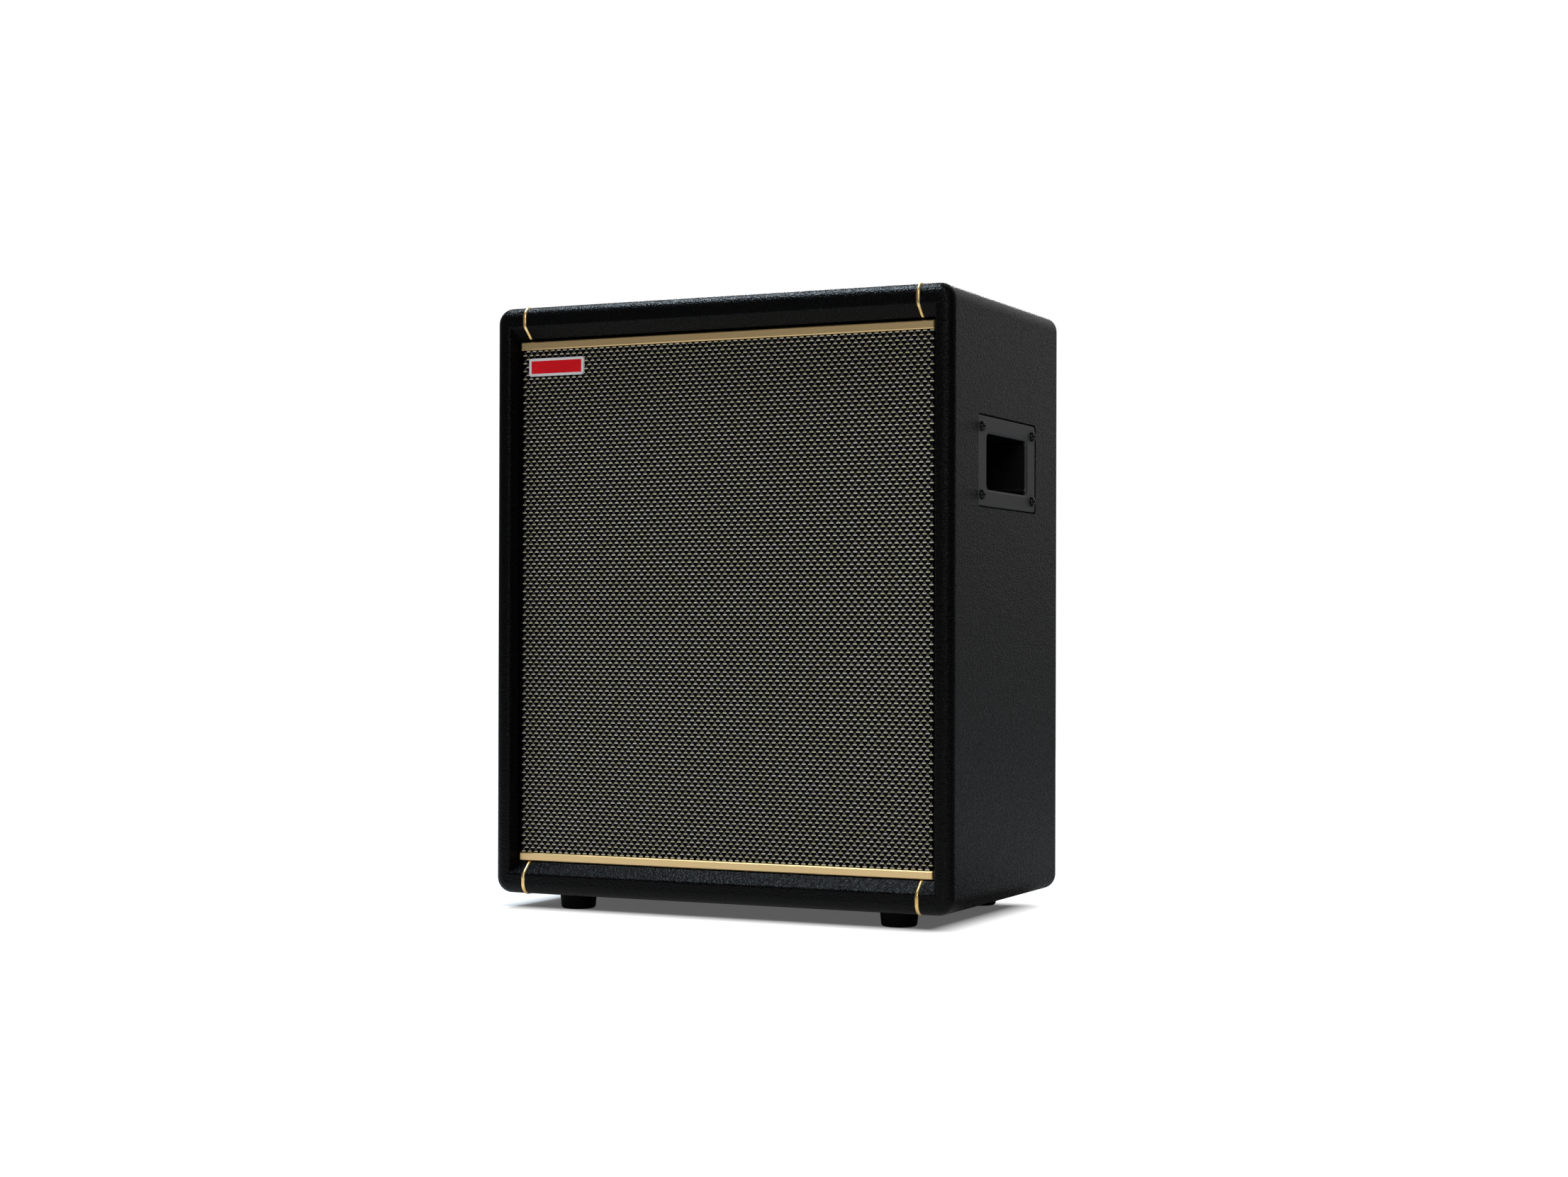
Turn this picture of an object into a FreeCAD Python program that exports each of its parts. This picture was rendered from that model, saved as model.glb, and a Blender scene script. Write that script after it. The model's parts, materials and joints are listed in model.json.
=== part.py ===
import FreeCAD, Part
import os
from math import cos, pi, sin, sqrt, tan

# Speaker cabinet for electric guitar. Millimetres, +Z up, the front faces -Y.
# The origin is on the floor, under the middle of the box.

# Box: boards, front rails and the leatherette glued over them
WIDTH = 410.0
BOX_HEIGHT = 488.3
DEPTH = 246.0
BOARD = 15.0
COVER = 1.0
CORNER_R = 13.0
NOSE_R = 9.0
BACK_EDGE_R = 4.0
RAIL_HEIGHT = 26.0
RAIL_BEVEL = 9.5
RAIL_BLEND_R = 3.0
POST_BEVEL = 3.2
POST_BLEND_R = 3.5
BEVEL_DEPTH = 10.0
TONGUE = 5.0
TONGUE_THICK = 5.0
TONGUE_END = 20.0
CLEAT = 15.0

# Gold piping in a groove across the nose of each rail
PIPING_D = 3.7
PIPING_SINK = 1.15
PIPING_FROM_SIDE = 28.3
PIPING_ON_TOP = 10.0
PIPING_INSIDE = 3.0
PIPING_BEND_R = 2.5
PIPING_SWEEP_R = 6.0
PIPING_CLEAR = 0.3

# Grille: frame, cloth, two gold bars and a bare badge plate
CLOTH = 0.8
CLOTH_SETBACK = 12.5
GRILLE_SIDE_GAP = 1.5
GRILLE_LOW_GAP = 1.0
GRILLE_TOP_GAP = 2.3
GRILLE_FRAME = 9.0
GRILLE_STRIP = 32.0
BRACE_CLEAR = 2.0
BAR_HEIGHT = 6.6
BAR_SETBACK = 10.0
BAR_BEVEL = 0.7
BAR_END_INSET = 0.5
BAR_STUD_D = 3.0
BAR_STUD = 6.0
BAR_STUDS = 4
BADGE_WIDTH = 52.1
BADGE_HEIGHT = 14.8
BADGE_THICK = 1.8
BADGE_R = 2.0
BADGE_RIM = 1.0
BADGE_RIM_RISE = 0.5
BADGE_FROM_LEFT = 52.5
BADGE_FROM_TOP = 49.6
BADGE_PIN_SPAN = 30.0
PAD = 2.7
PAD_WIDTH = 18.0
PAD_LENGTH = 40.0
STUD_CLEAR = 0.1

# Baffle and back panel
BAFFLE = 15.0
BACK_PANEL = 12.0
BACK_RECESS = 3.0
PANEL_CLEAR = 0.5
PANEL_SCREW_LENGTH = 26.0

# Recessed handle cup in each side
HANDLE_LENGTH = 132.5
HANDLE_HEIGHT = 72.0
HANDLE_FLANGE = 2.5
HANDLE_CORNER_R = 3.0
HANDLE_EDGE = 1.2
HANDLE_SINK = 0.3
HANDLE_GAP = 1.0
HANDLE_FROM_TOP = 134.0
HANDLE_DEPTH_SHARE = 0.422
CUP_LENGTH = 92.6
CUP_HEIGHT = 44.7
CUP_R = 5.5
CUP_DEPTH = 38.0
CUP_DRAFT = 3.0
CUP_WALL = 2.5
CUP_ROLL_R = 2.2
CUP_FLOOR_R = 2.4
CUP_CLEAR = 1.0
HANDLE_SCREW_LENGTH_SPAN = 116.0
HANDLE_SCREW_HEIGHT_SPAN = 54.0

# Rubber feet
FOOT_HEIGHT = 13.5
FOOT_D = 31.0
FOOT_TAPER = 1.4
FOOT_EDGE = 2.5
FOOT_BORE_D = 12.0
FOOT_WEB = 5.0
FOOT_FROM_SIDE = 59.1
FOOT_FROM_FRONT = 39.4
FOOT_FROM_BACK = 31.0

# Wood screws: shank, head and cross slot
SCREW_D = 4.0
SCREW_HEAD_D = 8.0
SCREW_HEAD = 2.6
SCREW_LENGTH = 13.0
SCREW_SLOT = 1.2
SCREW_SLOT_DEPTH = 1.4
SCREW_SLOT_SPAN = 4.8
SCREW_CROWN_R = 1.8
SCREW_CLEAR = 0.1

# Ten inch driver, measured back from the front of the baffle
DRIVER_D = 257.0
DRIVER_RIM = 12.5
DRIVER_BOLT_INSET = 6.0
DRIVER_BOLTS = 8
BASKET_SHEET = 1.6
BASKET_CLEAR = 3.0
BASKET_SEAT_DEPTH = 62.0
BASKET_SEAT_D = 104.0
BASKET_SHELF_D = 136.0
BASKET_SHELF_DEPTH = 52.0
BASKET_WINDOW_INSET = 12.0
BASKET_WINDOWS = 6
BASKET_RIB = 26.0
GASKET = 4.0
GASKET_CLEAR = 0.5
SURROUND = 0.8
SURROUND_ROLL_R = 4.2
SURROUND_LIP = 4.0
CONE_SHEET = 1.0
CONE_RIM = 3.5
CONE_COLLAR = 3.0
CONE_NECK_DEPTH = 44.0
DUST_CAP_D = 76.0
DUST_CAP_RISE = 13.0
COIL_D = 39.8
COIL_WALL = 0.7
COIL_LENGTH = 36.0
COIL_GAP = 0.7
SPIDER = 0.7
SPIDER_WAVES = 4
SPIDER_WAVE = 1.5
SPIDER_CLEAR = 0.35
TOP_PLATE = 6.0
TOP_PLATE_D = 122.0
MAGNET = 18.0
MAGNET_D = 134.0
MAGNET_BORE_D = 58.0
BACK_PLATE = 6.0
TERMINAL_WIDTH = 34.0
TERMINAL_HEIGHT = 28.0
TERMINAL_THICK = 4.0
TERMINAL_INSET = 5.0

# Horn tweeter above the driver
TWEETER_GAP = 12.0
TWEETER_PLATE = 82.0
TWEETER_PLATE_THICK = 4.0
TWEETER_PLATE_R = 6.0
HORN_MOUTH_D = 68.0
HORN_THROAT_D = 24.0
HORN_LENGTH = 26.0
HORN_WALL = 2.5
HORN_FLANGE = 10.0
TWEETER_MOTOR_D = 60.0
TWEETER_MOTOR = 32.0
TWEETER_SCREW_SPAN = 68.0

# Bass port in the back panel
PORT_BORE_D = 60.0
PORT_WALL = 3.0
PORT_LENGTH = 88.0
PORT_FLANGE_D = 84.0
PORT_FLANGE = 2.5
PORT_FLARE_R = 4.0
PORT_FROM_TOP = 102.0

# Recessed amplifier tray in the back panel
TRAY_WIDTH = 220.0
TRAY_HEIGHT = 110.0
TRAY_LIP = 12.0
TRAY_SHEET = 1.5
TRAY_RECESS = 22.0
TRAY_CORNER_R = 6.0
TRAY_RISE = 118.0
TRAY_SCREW_LENGTH = 11.0
HOUSING_DEPTH = 46.0
BOARD_STANDOFF = 7.5
STANDOFF_D = 6.0
CIRCUIT_BOARD = 1.6
CIRCUIT_MARGIN = 6.0
CAPACITOR_D = 16.0
CAPACITOR_LENGTH = 24.0
CAPACITORS = 4
CAPACITOR_PITCH = 30.0
CONTROL_PITCH = 36.0

# Level control: potentiometer, shaft and knob
POT_D = 17.0
POT_LENGTH = 9.0
BUSH_D = 7.0
BUSH_LENGTH = 5.0
NUT_ACROSS = 10.0
NUT = 2.0
SHAFT_D = 6.0
SHAFT_FIT = 0.05
KNOB_D = 20.0
KNOB_HEIGHT = 13.0
KNOB_GAP = 1.0
KNOB_FLUTES = 12
KNOB_FLUTE_D = 3.0
KNOB_BORE_ROOF = 3.0
KNOB_SKIRT = 2.0
KNOB_MARK = 1.2
KNOB_MARK_START = 2.5

# Power rocker switch
SWITCH_BEZEL_WIDTH = 15.0
SWITCH_BEZEL_HEIGHT = 21.0
SWITCH_BEZEL = 2.0
SWITCH_WALL = 1.3
SWITCH_DEPTH = 16.0
SWITCH_SHOULDER = 1.0
PIVOT_DEPTH = 3.0
ROCKER_CLEAR = 0.5
ROCKER_RISE = 5.0
ROCKER_DIP = 1.0
ROCKER_THROW = 8.0
TRUNNION_D = 2.4

# Mains inlet, input and link sockets
INLET_WIDTH = 31.0
INLET_HEIGHT = 24.0
INLET_BEZEL = 2.0
INLET_RECESS_WIDTH = 24.0
INLET_RECESS_HEIGHT = 16.5
INLET_RECESS = 16.0
INLET_WALL = 1.5
BLADE_WIDTH = 2.3
BLADE_HEIGHT = 4.0
BLADE_LENGTH = 13.0
BLADE_PITCH = 7.0
SOCKET_PLATE_WIDTH = 26.0
SOCKET_PLATE_HEIGHT = 31.0
SOCKET_PLATE = 3.0
SOCKET_PLATE_R = 4.0
SOCKET_BARREL_D = 23.0
SOCKET_BARREL = 21.0
LINK_BODY = 17.0
LINK_BUSH_D = 9.5
LINK_NUT_ACROSS = 13.0
JACK_D = 6.5
JACK_DEPTH = 19.0
CONTACT_D = 2.8
CONTACT_RING_D = 15.0
CONTACTS = 3
CONTACT_DEPTH = 12.0
CUTOUT_CLEAR = 0.3

# Speaker leads
LEAD_D = 2.4
LEAD_GAP = 12.0
LEAD_BEND_R = 12.0
LEAD_STRAIGHT = 16.0
LEAD_SAG = 12.0
LEAD_SIDE_GAP = 20.0
LEAD_TWEETER_X = 60.0
LEAD_TWEETER_RISE = 24.0

# Overrun of cutting shapes past the face that they cut, and how close an edge lies to its plane
OVER = 1.0
IN_PLANE = 1e-4

# Straight steps that stand for one curve of the surround, of a spider wave and of the horn
ROLL_STEPS = 10
SPIDER_STEPS = 8
HORN_STEPS = 8

V = FreeCAD.Vector
BACKWARD = V(0, 1, 0)
FORWARD = V(0, -1, 0)
RIGHT = V(1, 0, 0)
UP = V(0, 0, 1)
DOWN = V(0, 0, -1)

# Planes and centres that the pieces share
FRONT_Y = -DEPTH / 2
BACK_Y = DEPTH / 2
BOX_LOW = FOOT_HEIGHT
BOX_TOP = FOOT_HEIGHT + BOX_HEIGHT
MID_Z = (BOX_LOW + BOX_TOP) / 2
INNER_HALF = WIDTH / 2 - COVER - BOARD
OPEN_HALF = INNER_HALF - COVER
OPEN_LOW = BOX_LOW + RAIL_HEIGHT
OPEN_TOP = BOX_TOP - RAIL_HEIGHT
INNER_LOW = BOX_LOW + COVER + BOARD
INNER_TOP = BOX_TOP - COVER - BOARD
CLOTH_Y = FRONT_Y + CLOTH_SETBACK
GRILLE_BACK_Y = CLOTH_Y + CLOTH + GRILLE_FRAME
BAFFLE_Y = GRILLE_BACK_Y + PAD
BAFFLE_BACK_Y = BAFFLE_Y + BAFFLE
PANEL_BACK_Y = BACK_Y - BACK_RECESS
PANEL_FRONT_Y = PANEL_BACK_Y - BACK_PANEL
SEAM_X = WIDTH / 2 - PIPING_FROM_SIDE
GRILLE_HALF = OPEN_HALF - GRILLE_SIDE_GAP
GRILLE_LOW = OPEN_LOW + GRILLE_LOW_GAP
GRILLE_TOP = OPEN_TOP - GRILLE_TOP_GAP
WINDOW_HALF = GRILLE_HALF - CLOTH - GRILLE_STRIP
SPARE_HEIGHT = INNER_TOP - INNER_LOW - DRIVER_D - TWEETER_GAP - TWEETER_PLATE
DRIVER_Z = INNER_LOW + SPARE_HEIGHT / 2 + DRIVER_D / 2
TWEETER_Z = DRIVER_Z + DRIVER_D / 2 + TWEETER_GAP + TWEETER_PLATE / 2
PORT_Z = BOX_TOP - PORT_FROM_TOP
TRAY_Z = BOX_LOW + TRAY_RISE
TRAY_FACE_Y = PANEL_BACK_Y + TRAY_SHEET - TRAY_RECESS
TRAY_BACK_Y = TRAY_FACE_Y - TRAY_SHEET
HOUSING_Y = TRAY_BACK_Y - HOUSING_DEPTH
HANDLE_Z = BOX_TOP - HANDLE_FROM_TOP
CLEATS_FRONT_Y = BAFFLE_BACK_Y + CLEAT
CLEATS_BACK_Y = PANEL_FRONT_Y - CLEAT
HANDLE_Y = CLEATS_FRONT_Y + HANDLE_DEPTH_SHARE * (CLEATS_BACK_Y - CLEATS_FRONT_Y)


def box(x0, x1, y0, y1, z0, z1):
    return Part.makeBox(x1 - x0, y1 - y0, z1 - z0, V(x0, y0, z0))


def rod(radius, y0, y1, x=0.0, z=0.0):
    """Cylinder along Y."""
    return Part.makeCylinder(radius, y1 - y0, V(x, y0, z), BACKWARD)


def ring(inner, outer, y0, y1, x=0.0, z=0.0):
    return rod(outer, y0, y1, x, z).cut(rod(inner, y0 - OVER, y1 + OVER, x, z))


def turned(profile, x, z):
    """Solid of revolution about the Y line through x, z. The profile holds (radius, y) points."""
    points = [V(x + radius, y, z) for radius, y in profile]
    face = Part.Face(Part.makePolygon(points + points[:1]))
    return face.revolve(V(x, 0, z), BACKWARD, 360)


def rounded_plate(half_x, half_z, radius, y0, y1, x=0.0, z=0.0):
    """Rectangular plate across Y with rounded corners."""
    plate = box(x - half_x, x + half_x, y0, y1, z - half_z, z + half_z)
    corners = [e for e in plate.Edges if e.BoundBox.YLength > (y1 - y0) / 2]
    return plate.makeFillet(radius, corners)


def rounded_outline(x, half_y, half_z, radius, mid_y, mid_z):
    """Closed outline in the plane at x: a rectangle with rounded corners."""
    plate = box(x, x + OVER, mid_y - half_y, mid_y + half_y, mid_z - half_z, mid_z + half_z)
    plate = plate.makeFillet(radius, [e for e in plate.Edges if e.BoundBox.XLength > OVER / 2])
    face = min(plate.Faces, key=lambda f: f.CenterOfMass.x)
    return face.OuterWire


def edges_at_y(shape, y):
    """Edges that lie in the plane at y."""
    return [e for e in shape.Edges if abs(e.BoundBox.YMin - y) + abs(e.BoundBox.YMax - y) < IN_PLANE]


def rounded_path(points, radii):
    """Wire of straight runs through the points, each inner corner an arc of its own radius."""
    edges = []
    start = points[0]
    for before, corner, after, radius in zip(points, points[1:], points[2:], radii):
        back = (before - corner).normalize()
        ahead = (after - corner).normalize()
        half_angle = back.getAngle(ahead) / 2
        first = corner + back * (radius / tan(half_angle))
        last = corner + ahead * (radius / tan(half_angle))
        bisector = (back + ahead).normalize()
        middle = corner + bisector * (radius / sin(half_angle) - radius)
        edges.append(Part.LineSegment(start, first).toShape())
        edges.append(Part.Arc(first, middle, last).toShape())
        start = last
    edges.append(Part.LineSegment(start, points[-1]).toShape())
    return Part.Wire(edges)


def tube(points, radii, radius):
    path = rounded_path(points, radii)
    start = points[0]
    section = Part.Wire([Part.Circle(start, points[1] - start, radius).toShape()])
    return path.makePipeShell([section], True, False)


def turned_to(shape, outward, place):
    """Stands a piece made along +Z on a face: its seat at place, its head towards outward."""
    shape = shape.copy()
    shape.Placement = FreeCAD.Placement(place, FreeCAD.Rotation(UP, outward))
    return shape


def pan_screw(length=SCREW_LENGTH):
    """Cross-head screw along +Z, its head seated at the origin."""
    head = Part.makeCylinder(SCREW_HEAD_D / 2, SCREW_HEAD)
    head = head.makeFillet(SCREW_CROWN_R, [e for e in head.Edges if e.BoundBox.ZMin > SCREW_HEAD / 2])
    screw = head.fuse(Part.makeCylinder(SCREW_D / 2, length, V(0, 0, -length)))
    arm = SCREW_SLOT_SPAN / 2
    slot_low = SCREW_HEAD - SCREW_SLOT_DEPTH
    for half_x, half_y in ((arm, SCREW_SLOT / 2), (SCREW_SLOT / 2, arm)):
        screw = screw.cut(box(-half_x, half_x, -half_y, half_y, slot_low, SCREW_HEAD + OVER))
    return screw


def screw_hole(length=SCREW_LENGTH):
    """Clearance for a pan screw below its seat."""
    depth = length + SCREW_CLEAR
    return Part.makeCylinder(SCREW_D / 2 + SCREW_CLEAR, depth + OVER, V(0, 0, -depth))


def drilled(shape, places, outward, length=SCREW_LENGTH):
    for place in places:
        shape = shape.cut(turned_to(screw_hole(length), outward, place))
    return shape


def screws(places, outward, length=SCREW_LENGTH):
    return Part.makeCompound([turned_to(pan_screw(length), outward, place) for place in places])


def mirrored(shape):
    return shape.mirror(V(0, 0, 0), RIGHT)


def save(node, shape):
    os.makedirs("parts", exist_ok=True)
    shape.exportStep("parts/" + node + ".step")


def bevel_at(opening, bevel, y, inset):
    """Half size of the bevelled mouth at y, with its faces moved inset into the wood."""
    slope = bevel / BEVEL_DEPTH
    return opening + slope * (FRONT_Y + BEVEL_DEPTH - y) + inset * sqrt(1 + slope ** 2)


def mouth_profile(opening, bevel, blend_r, inset):
    """Half size and y along one bevel of the mouth: the nose, its roll into the bevel, the bevel's end."""
    slope = bevel / BEVEL_DEPTH
    lean = sqrt(1 + slope ** 2)
    front = FRONT_Y + inset
    end = FRONT_Y + BEVEL_DEPTH + OVER
    radius = blend_r - inset
    edge = bevel_at(opening, bevel, front, inset)
    run = radius * (lean - slope)
    halfway = (1 + slope / lean) / 2
    rise = radius * sqrt(halfway)
    side = radius * sqrt(1 - halfway)
    return [
        (edge + run, front - OVER),
        (edge + run, front),
        (edge + run - side, front + radius - rise),
        (edge - run * slope / lean, front + run / lean),
        (bevel_at(opening, bevel, end, inset), end),
    ]


def mouth_bar(profile, place, along):
    """Bar of air between two opposite bevels. place turns a half size and y into a point."""
    edges = []
    for way in (1, -1):
        ahead, nose, roll, bevel, end = [place(way * half, y) for half, y in profile]
        edges.append(Part.LineSegment(ahead, nose).toShape())
        edges.append(Part.Arc(nose, roll, bevel).toShape())
        edges.append(Part.LineSegment(bevel, end).toShape())
    for half, y in (profile[0], profile[-1]):
        edges.append(Part.LineSegment(place(half, y), place(-half, y)).toShape())
    return Part.Face(Part.Wire(Part.__sortEdges__(edges))).extrude(along)


def hollow_block(inset):
    """Outer form of the box with its rolled and bevelled mouth, every face moved inset into the wood."""
    half = WIDTH / 2 - inset
    front = FRONT_Y + inset
    back = BACK_Y - inset
    block = box(-half, half, front, back, BOX_LOW + inset, BOX_TOP - inset)
    long_edges = [e for e in block.Edges if e.BoundBox.YLength > DEPTH / 2]
    block = block.makeFillet(CORNER_R - inset, long_edges)
    block = block.makeFillet(NOSE_R - inset, edges_at_y(block, front))
    block = block.makeFillet(BACK_EDGE_R - inset, edges_at_y(block, back))
    half_x = OPEN_HALF + inset
    block = block.cut(box(-half_x, half_x, front - OVER, back + OVER, OPEN_LOW - inset, OPEN_TOP + inset))
    reach = WIDTH + BOX_HEIGHT
    rails = mouth_profile((OPEN_TOP - OPEN_LOW) / 2, RAIL_BEVEL, RAIL_BLEND_R, inset)
    posts = mouth_profile(OPEN_HALF, POST_BEVEL, POST_BLEND_R, inset)
    between_rails = mouth_bar(rails, lambda half, y: V(-reach, y, MID_Z + half), RIGHT * 2 * reach)
    between_posts = mouth_bar(posts, lambda half, y: V(half, y, MID_Z - reach), UP * 2 * reach)
    return block.cut(between_rails.common(between_posts))


# Piping: its centre line runs just under the surface, out of the grille opening, up the bevel,
# over the nose and a little way along the top
def piping_path(x):
    slope = RAIL_BEVEL / BEVEL_DEPTH
    lean = sqrt(1 + slope ** 2)
    wall_z = OPEN_TOP + PIPING_SINK
    face_y = FRONT_Y + PIPING_SINK
    top_z = BOX_TOP - PIPING_SINK
    bevel_end_y = FRONT_Y + BEVEL_DEPTH + PIPING_SINK * (lean - 1) / slope
    bevel_top_z = OPEN_TOP + slope * (BEVEL_DEPTH - PIPING_SINK) + PIPING_SINK * lean
    points = [
        V(x, FRONT_Y + BEVEL_DEPTH + PIPING_INSIDE, wall_z),
        V(x, bevel_end_y, wall_z),
        V(x, face_y, bevel_top_z),
        V(x, face_y, top_z),
        V(x, FRONT_Y + NOSE_R + PIPING_ON_TOP, top_z),
    ]
    return points, [PIPING_BEND_R, PIPING_SWEEP_R, NOSE_R - PIPING_SINK]


def piping(extra=0.0):
    lengths = []
    for x in (-SEAM_X, SEAM_X):
        points, radii = piping_path(x)
        upper = tube(points, radii, PIPING_D / 2 + extra)
        lengths += [upper, upper.mirror(V(0, 0, MID_Z), UP)]
    return lengths


piping_grooves = Part.makeCompound(piping(PIPING_CLEAR))
save("gold_piping", Part.makeCompound(piping()))

# Feet: tapered rubber buttons, each held by a screw whose head sits in the bore
foot_rows = {"front": FRONT_Y + FOOT_FROM_FRONT, "rear": BACK_Y - FOOT_FROM_BACK}
foot_sides = {"left": FOOT_FROM_SIDE - WIDTH / 2, "right": WIDTH / 2 - FOOT_FROM_SIDE}
foot_seats = []
for row, foot_y in foot_rows.items():
    for side, foot_x in foot_sides.items():
        top_r = FOOT_D / 2
        foot = Part.makeCone(top_r - FOOT_TAPER, top_r, FOOT_HEIGHT, V(foot_x, foot_y, 0))
        foot = foot.makeFillet(FOOT_EDGE, [e for e in foot.Edges if e.BoundBox.ZMax < FOOT_HEIGHT / 2])
        foot = foot.cut(Part.makeCylinder(FOOT_BORE_D / 2, FOOT_HEIGHT - FOOT_WEB, V(foot_x, foot_y, 0)))
        seat = V(foot_x, foot_y, BOX_LOW - FOOT_WEB)
        save(row + "_" + side + "_foot", drilled(foot, [seat], DOWN))
        foot_seats.append(seat)
save("foot_screws", screws(foot_seats, DOWN))

# Handle cups: a flange let into a pocket in the side, its mouth rolled into a drafted cup
side_x = WIDTH / 2
plate_x = side_x - HANDLE_SINK
pocket_x = plate_x - HANDLE_FLANGE
cup_floor_x = side_x - CUP_DEPTH
handle_screw_places = []
for dy in (-HANDLE_SCREW_LENGTH_SPAN / 2, HANDLE_SCREW_LENGTH_SPAN / 2):
    for dz in (-HANDLE_SCREW_HEIGHT_SPAN / 2, HANDLE_SCREW_HEIGHT_SPAN / 2):
        handle_screw_places.append(V(plate_x, HANDLE_Y + dy, HANDLE_Z + dz))


def handle_outline(x, length, height, radius):
    return rounded_outline(x, length / 2, height / 2, radius, HANDLE_Y, HANDLE_Z)


def handle_block(x0, x1, length, height, radius):
    face = Part.Face(handle_outline(x0, length, height, radius))
    return face.extrude(V(x1 - x0, 0, 0))


def cup_form(floor_x, grow):
    """Drafted hollow of the cup from the plate's face to its floor, grown by a wall."""
    length = CUP_LENGTH + 2 * grow
    height = CUP_HEIGHT + 2 * grow
    radius = CUP_R + grow
    mouth_wire = handle_outline(plate_x, length, height, radius)
    floor_wire = handle_outline(floor_x, length - 2 * CUP_DRAFT, height - 2 * CUP_DRAFT, radius - CUP_DRAFT)
    form = Part.makeLoft([floor_wire, mouth_wire], True, True)
    floor_edges = [e for e in form.Edges if e.BoundBox.XMax < floor_x + OVER]
    return form.makeFillet(CUP_FLOOR_R, floor_edges)


flange = handle_block(pocket_x, plate_x, HANDLE_LENGTH, HANDLE_HEIGHT, HANDLE_CORNER_R)
flange_edges = [e for e in flange.Edges if e.BoundBox.XMin > pocket_x + HANDLE_EDGE]
flange = flange.makeFillet(HANDLE_EDGE, flange_edges)
handle_cup = flange.fuse(cup_form(cup_floor_x - CUP_WALL, CUP_WALL)).removeSplitter()
handle_cup = handle_cup.cut(cup_form(cup_floor_x, 0.0))
mouth_edges = [e for e in handle_cup.Edges if e.BoundBox.XMin > plate_x - HANDLE_EDGE / 2
               and abs(e.CenterOfMass.y - HANDLE_Y) < CUP_LENGTH / 2 + OVER
               and abs(e.CenterOfMass.z - HANDLE_Z) < CUP_HEIGHT / 2 + OVER]
handle_cup = handle_cup.makeFillet(CUP_ROLL_R, mouth_edges)
handle_cup = drilled(handle_cup, handle_screw_places, RIGHT)
handle_cutout = handle_block(cup_floor_x, side_x + OVER, CUP_LENGTH + 2 * CUP_WALL + CUP_CLEAR,
                             CUP_HEIGHT + 2 * CUP_WALL + CUP_CLEAR, CUP_R + CUP_WALL)
handle_pocket = handle_block(pocket_x, side_x + OVER, HANDLE_LENGTH + 2 * HANDLE_GAP,
                             HANDLE_HEIGHT + 2 * HANDLE_GAP, HANDLE_CORNER_R + HANDLE_GAP)
handle_cutout = handle_cutout.fuse(handle_pocket)
handle_fixings = screws(handle_screw_places, RIGHT)
save("right_handle_cup", handle_cup)
save("left_handle_cup", mirrored(handle_cup))
save("handle_screws", Part.makeCompound(handle_fixings.Solids + mirrored(handle_fixings).Solids))

# Leatherette: a skin over the outer faces, the nose, the bevel and the sides of the grille opening,
# seamed under the piping
covered = hollow_block(0.0)
wood = hollow_block(COVER)
inside = box(-INNER_HALF, INNER_HALF, BAFFLE_Y, BACK_Y + OVER, INNER_LOW, INNER_TOP)
skin = covered.cut(wood).cut(inside).cut(piping_grooves)
skin = drilled(skin, foot_seats, DOWN)
far = WIDTH + BOX_HEIGHT
right_skin = skin.common(box(SEAM_X, far, -far, far, -far, far))
right_skin = drilled(right_skin.cut(handle_cutout), handle_screw_places, RIGHT)
save("right_covering", right_skin)
save("left_covering", mirrored(right_skin))
save("top_covering", skin.common(box(-SEAM_X, SEAM_X, -far, far, MID_Z, far)))
save("bottom_covering", skin.common(box(-SEAM_X, SEAM_X, -far, far, -far, MID_Z)))

# Boards: the sides run full height, the top and bottom are tongued into them, and a strip behind
# the nose deepens each rail
wood = wood.cut(inside).cut(piping_grooves)
tongue_front = FRONT_Y + TONGUE_END
tongue_back = BACK_Y - TONGUE_END


def tongue(x0, x1, middle):
    return box(x0, x1, tongue_front, tongue_back, middle - TONGUE_THICK / 2, middle + TONGUE_THICK / 2)


right_board = wood.common(box(INNER_HALF, far, -far, far, -far, far))
tongues = []
for board_name, low, high in (("bottom_board", BOX_LOW, INNER_LOW), ("top_board", INNER_TOP, BOX_TOP)):
    middle = (INNER_LOW - BOARD / 2) if low == BOX_LOW else (INNER_TOP + BOARD / 2)
    board = wood.common(box(-INNER_HALF, INNER_HALF, -far, far, low, high))
    board = board.fuse(tongue(INNER_HALF, INNER_HALF + TONGUE, middle))
    board = board.fuse(tongue(-INNER_HALF - TONGUE, -INNER_HALF, middle)).removeSplitter()
    tongues.append(tongue(INNER_HALF, INNER_HALF + TONGUE, middle))
    save(board_name, drilled(board, foot_seats, DOWN))
right_board = right_board.cut(Part.makeCompound(tongues)).cut(handle_cutout)
right_board = drilled(right_board, handle_screw_places, RIGHT)
save("right_side_board", right_board)
save("left_side_board", mirrored(right_board))
save("top_front_rail", wood.common(box(-INNER_HALF, INNER_HALF, -far, far, MID_Z, INNER_TOP)))
save("bottom_front_rail", wood.common(box(-INNER_HALF, INNER_HALF, -far, far, INNER_LOW, MID_Z)))


# Cleats: four battens glued round the inside, behind the baffle and in front of the back panel
def cleats(y0, y1):
    side = box(INNER_HALF - CLEAT, INNER_HALF, y0, y1, INNER_LOW + CLEAT, INNER_TOP - CLEAT)
    lower = box(-INNER_HALF, INNER_HALF, y0, y1, INNER_LOW, INNER_LOW + CLEAT)
    upper = box(-INNER_HALF, INNER_HALF, y0, y1, INNER_TOP - CLEAT, INNER_TOP)
    return Part.makeCompound([side, mirrored(side), lower, upper])


save("baffle_cleats", cleats(BAFFLE_BACK_Y, CLEATS_FRONT_Y))

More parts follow.
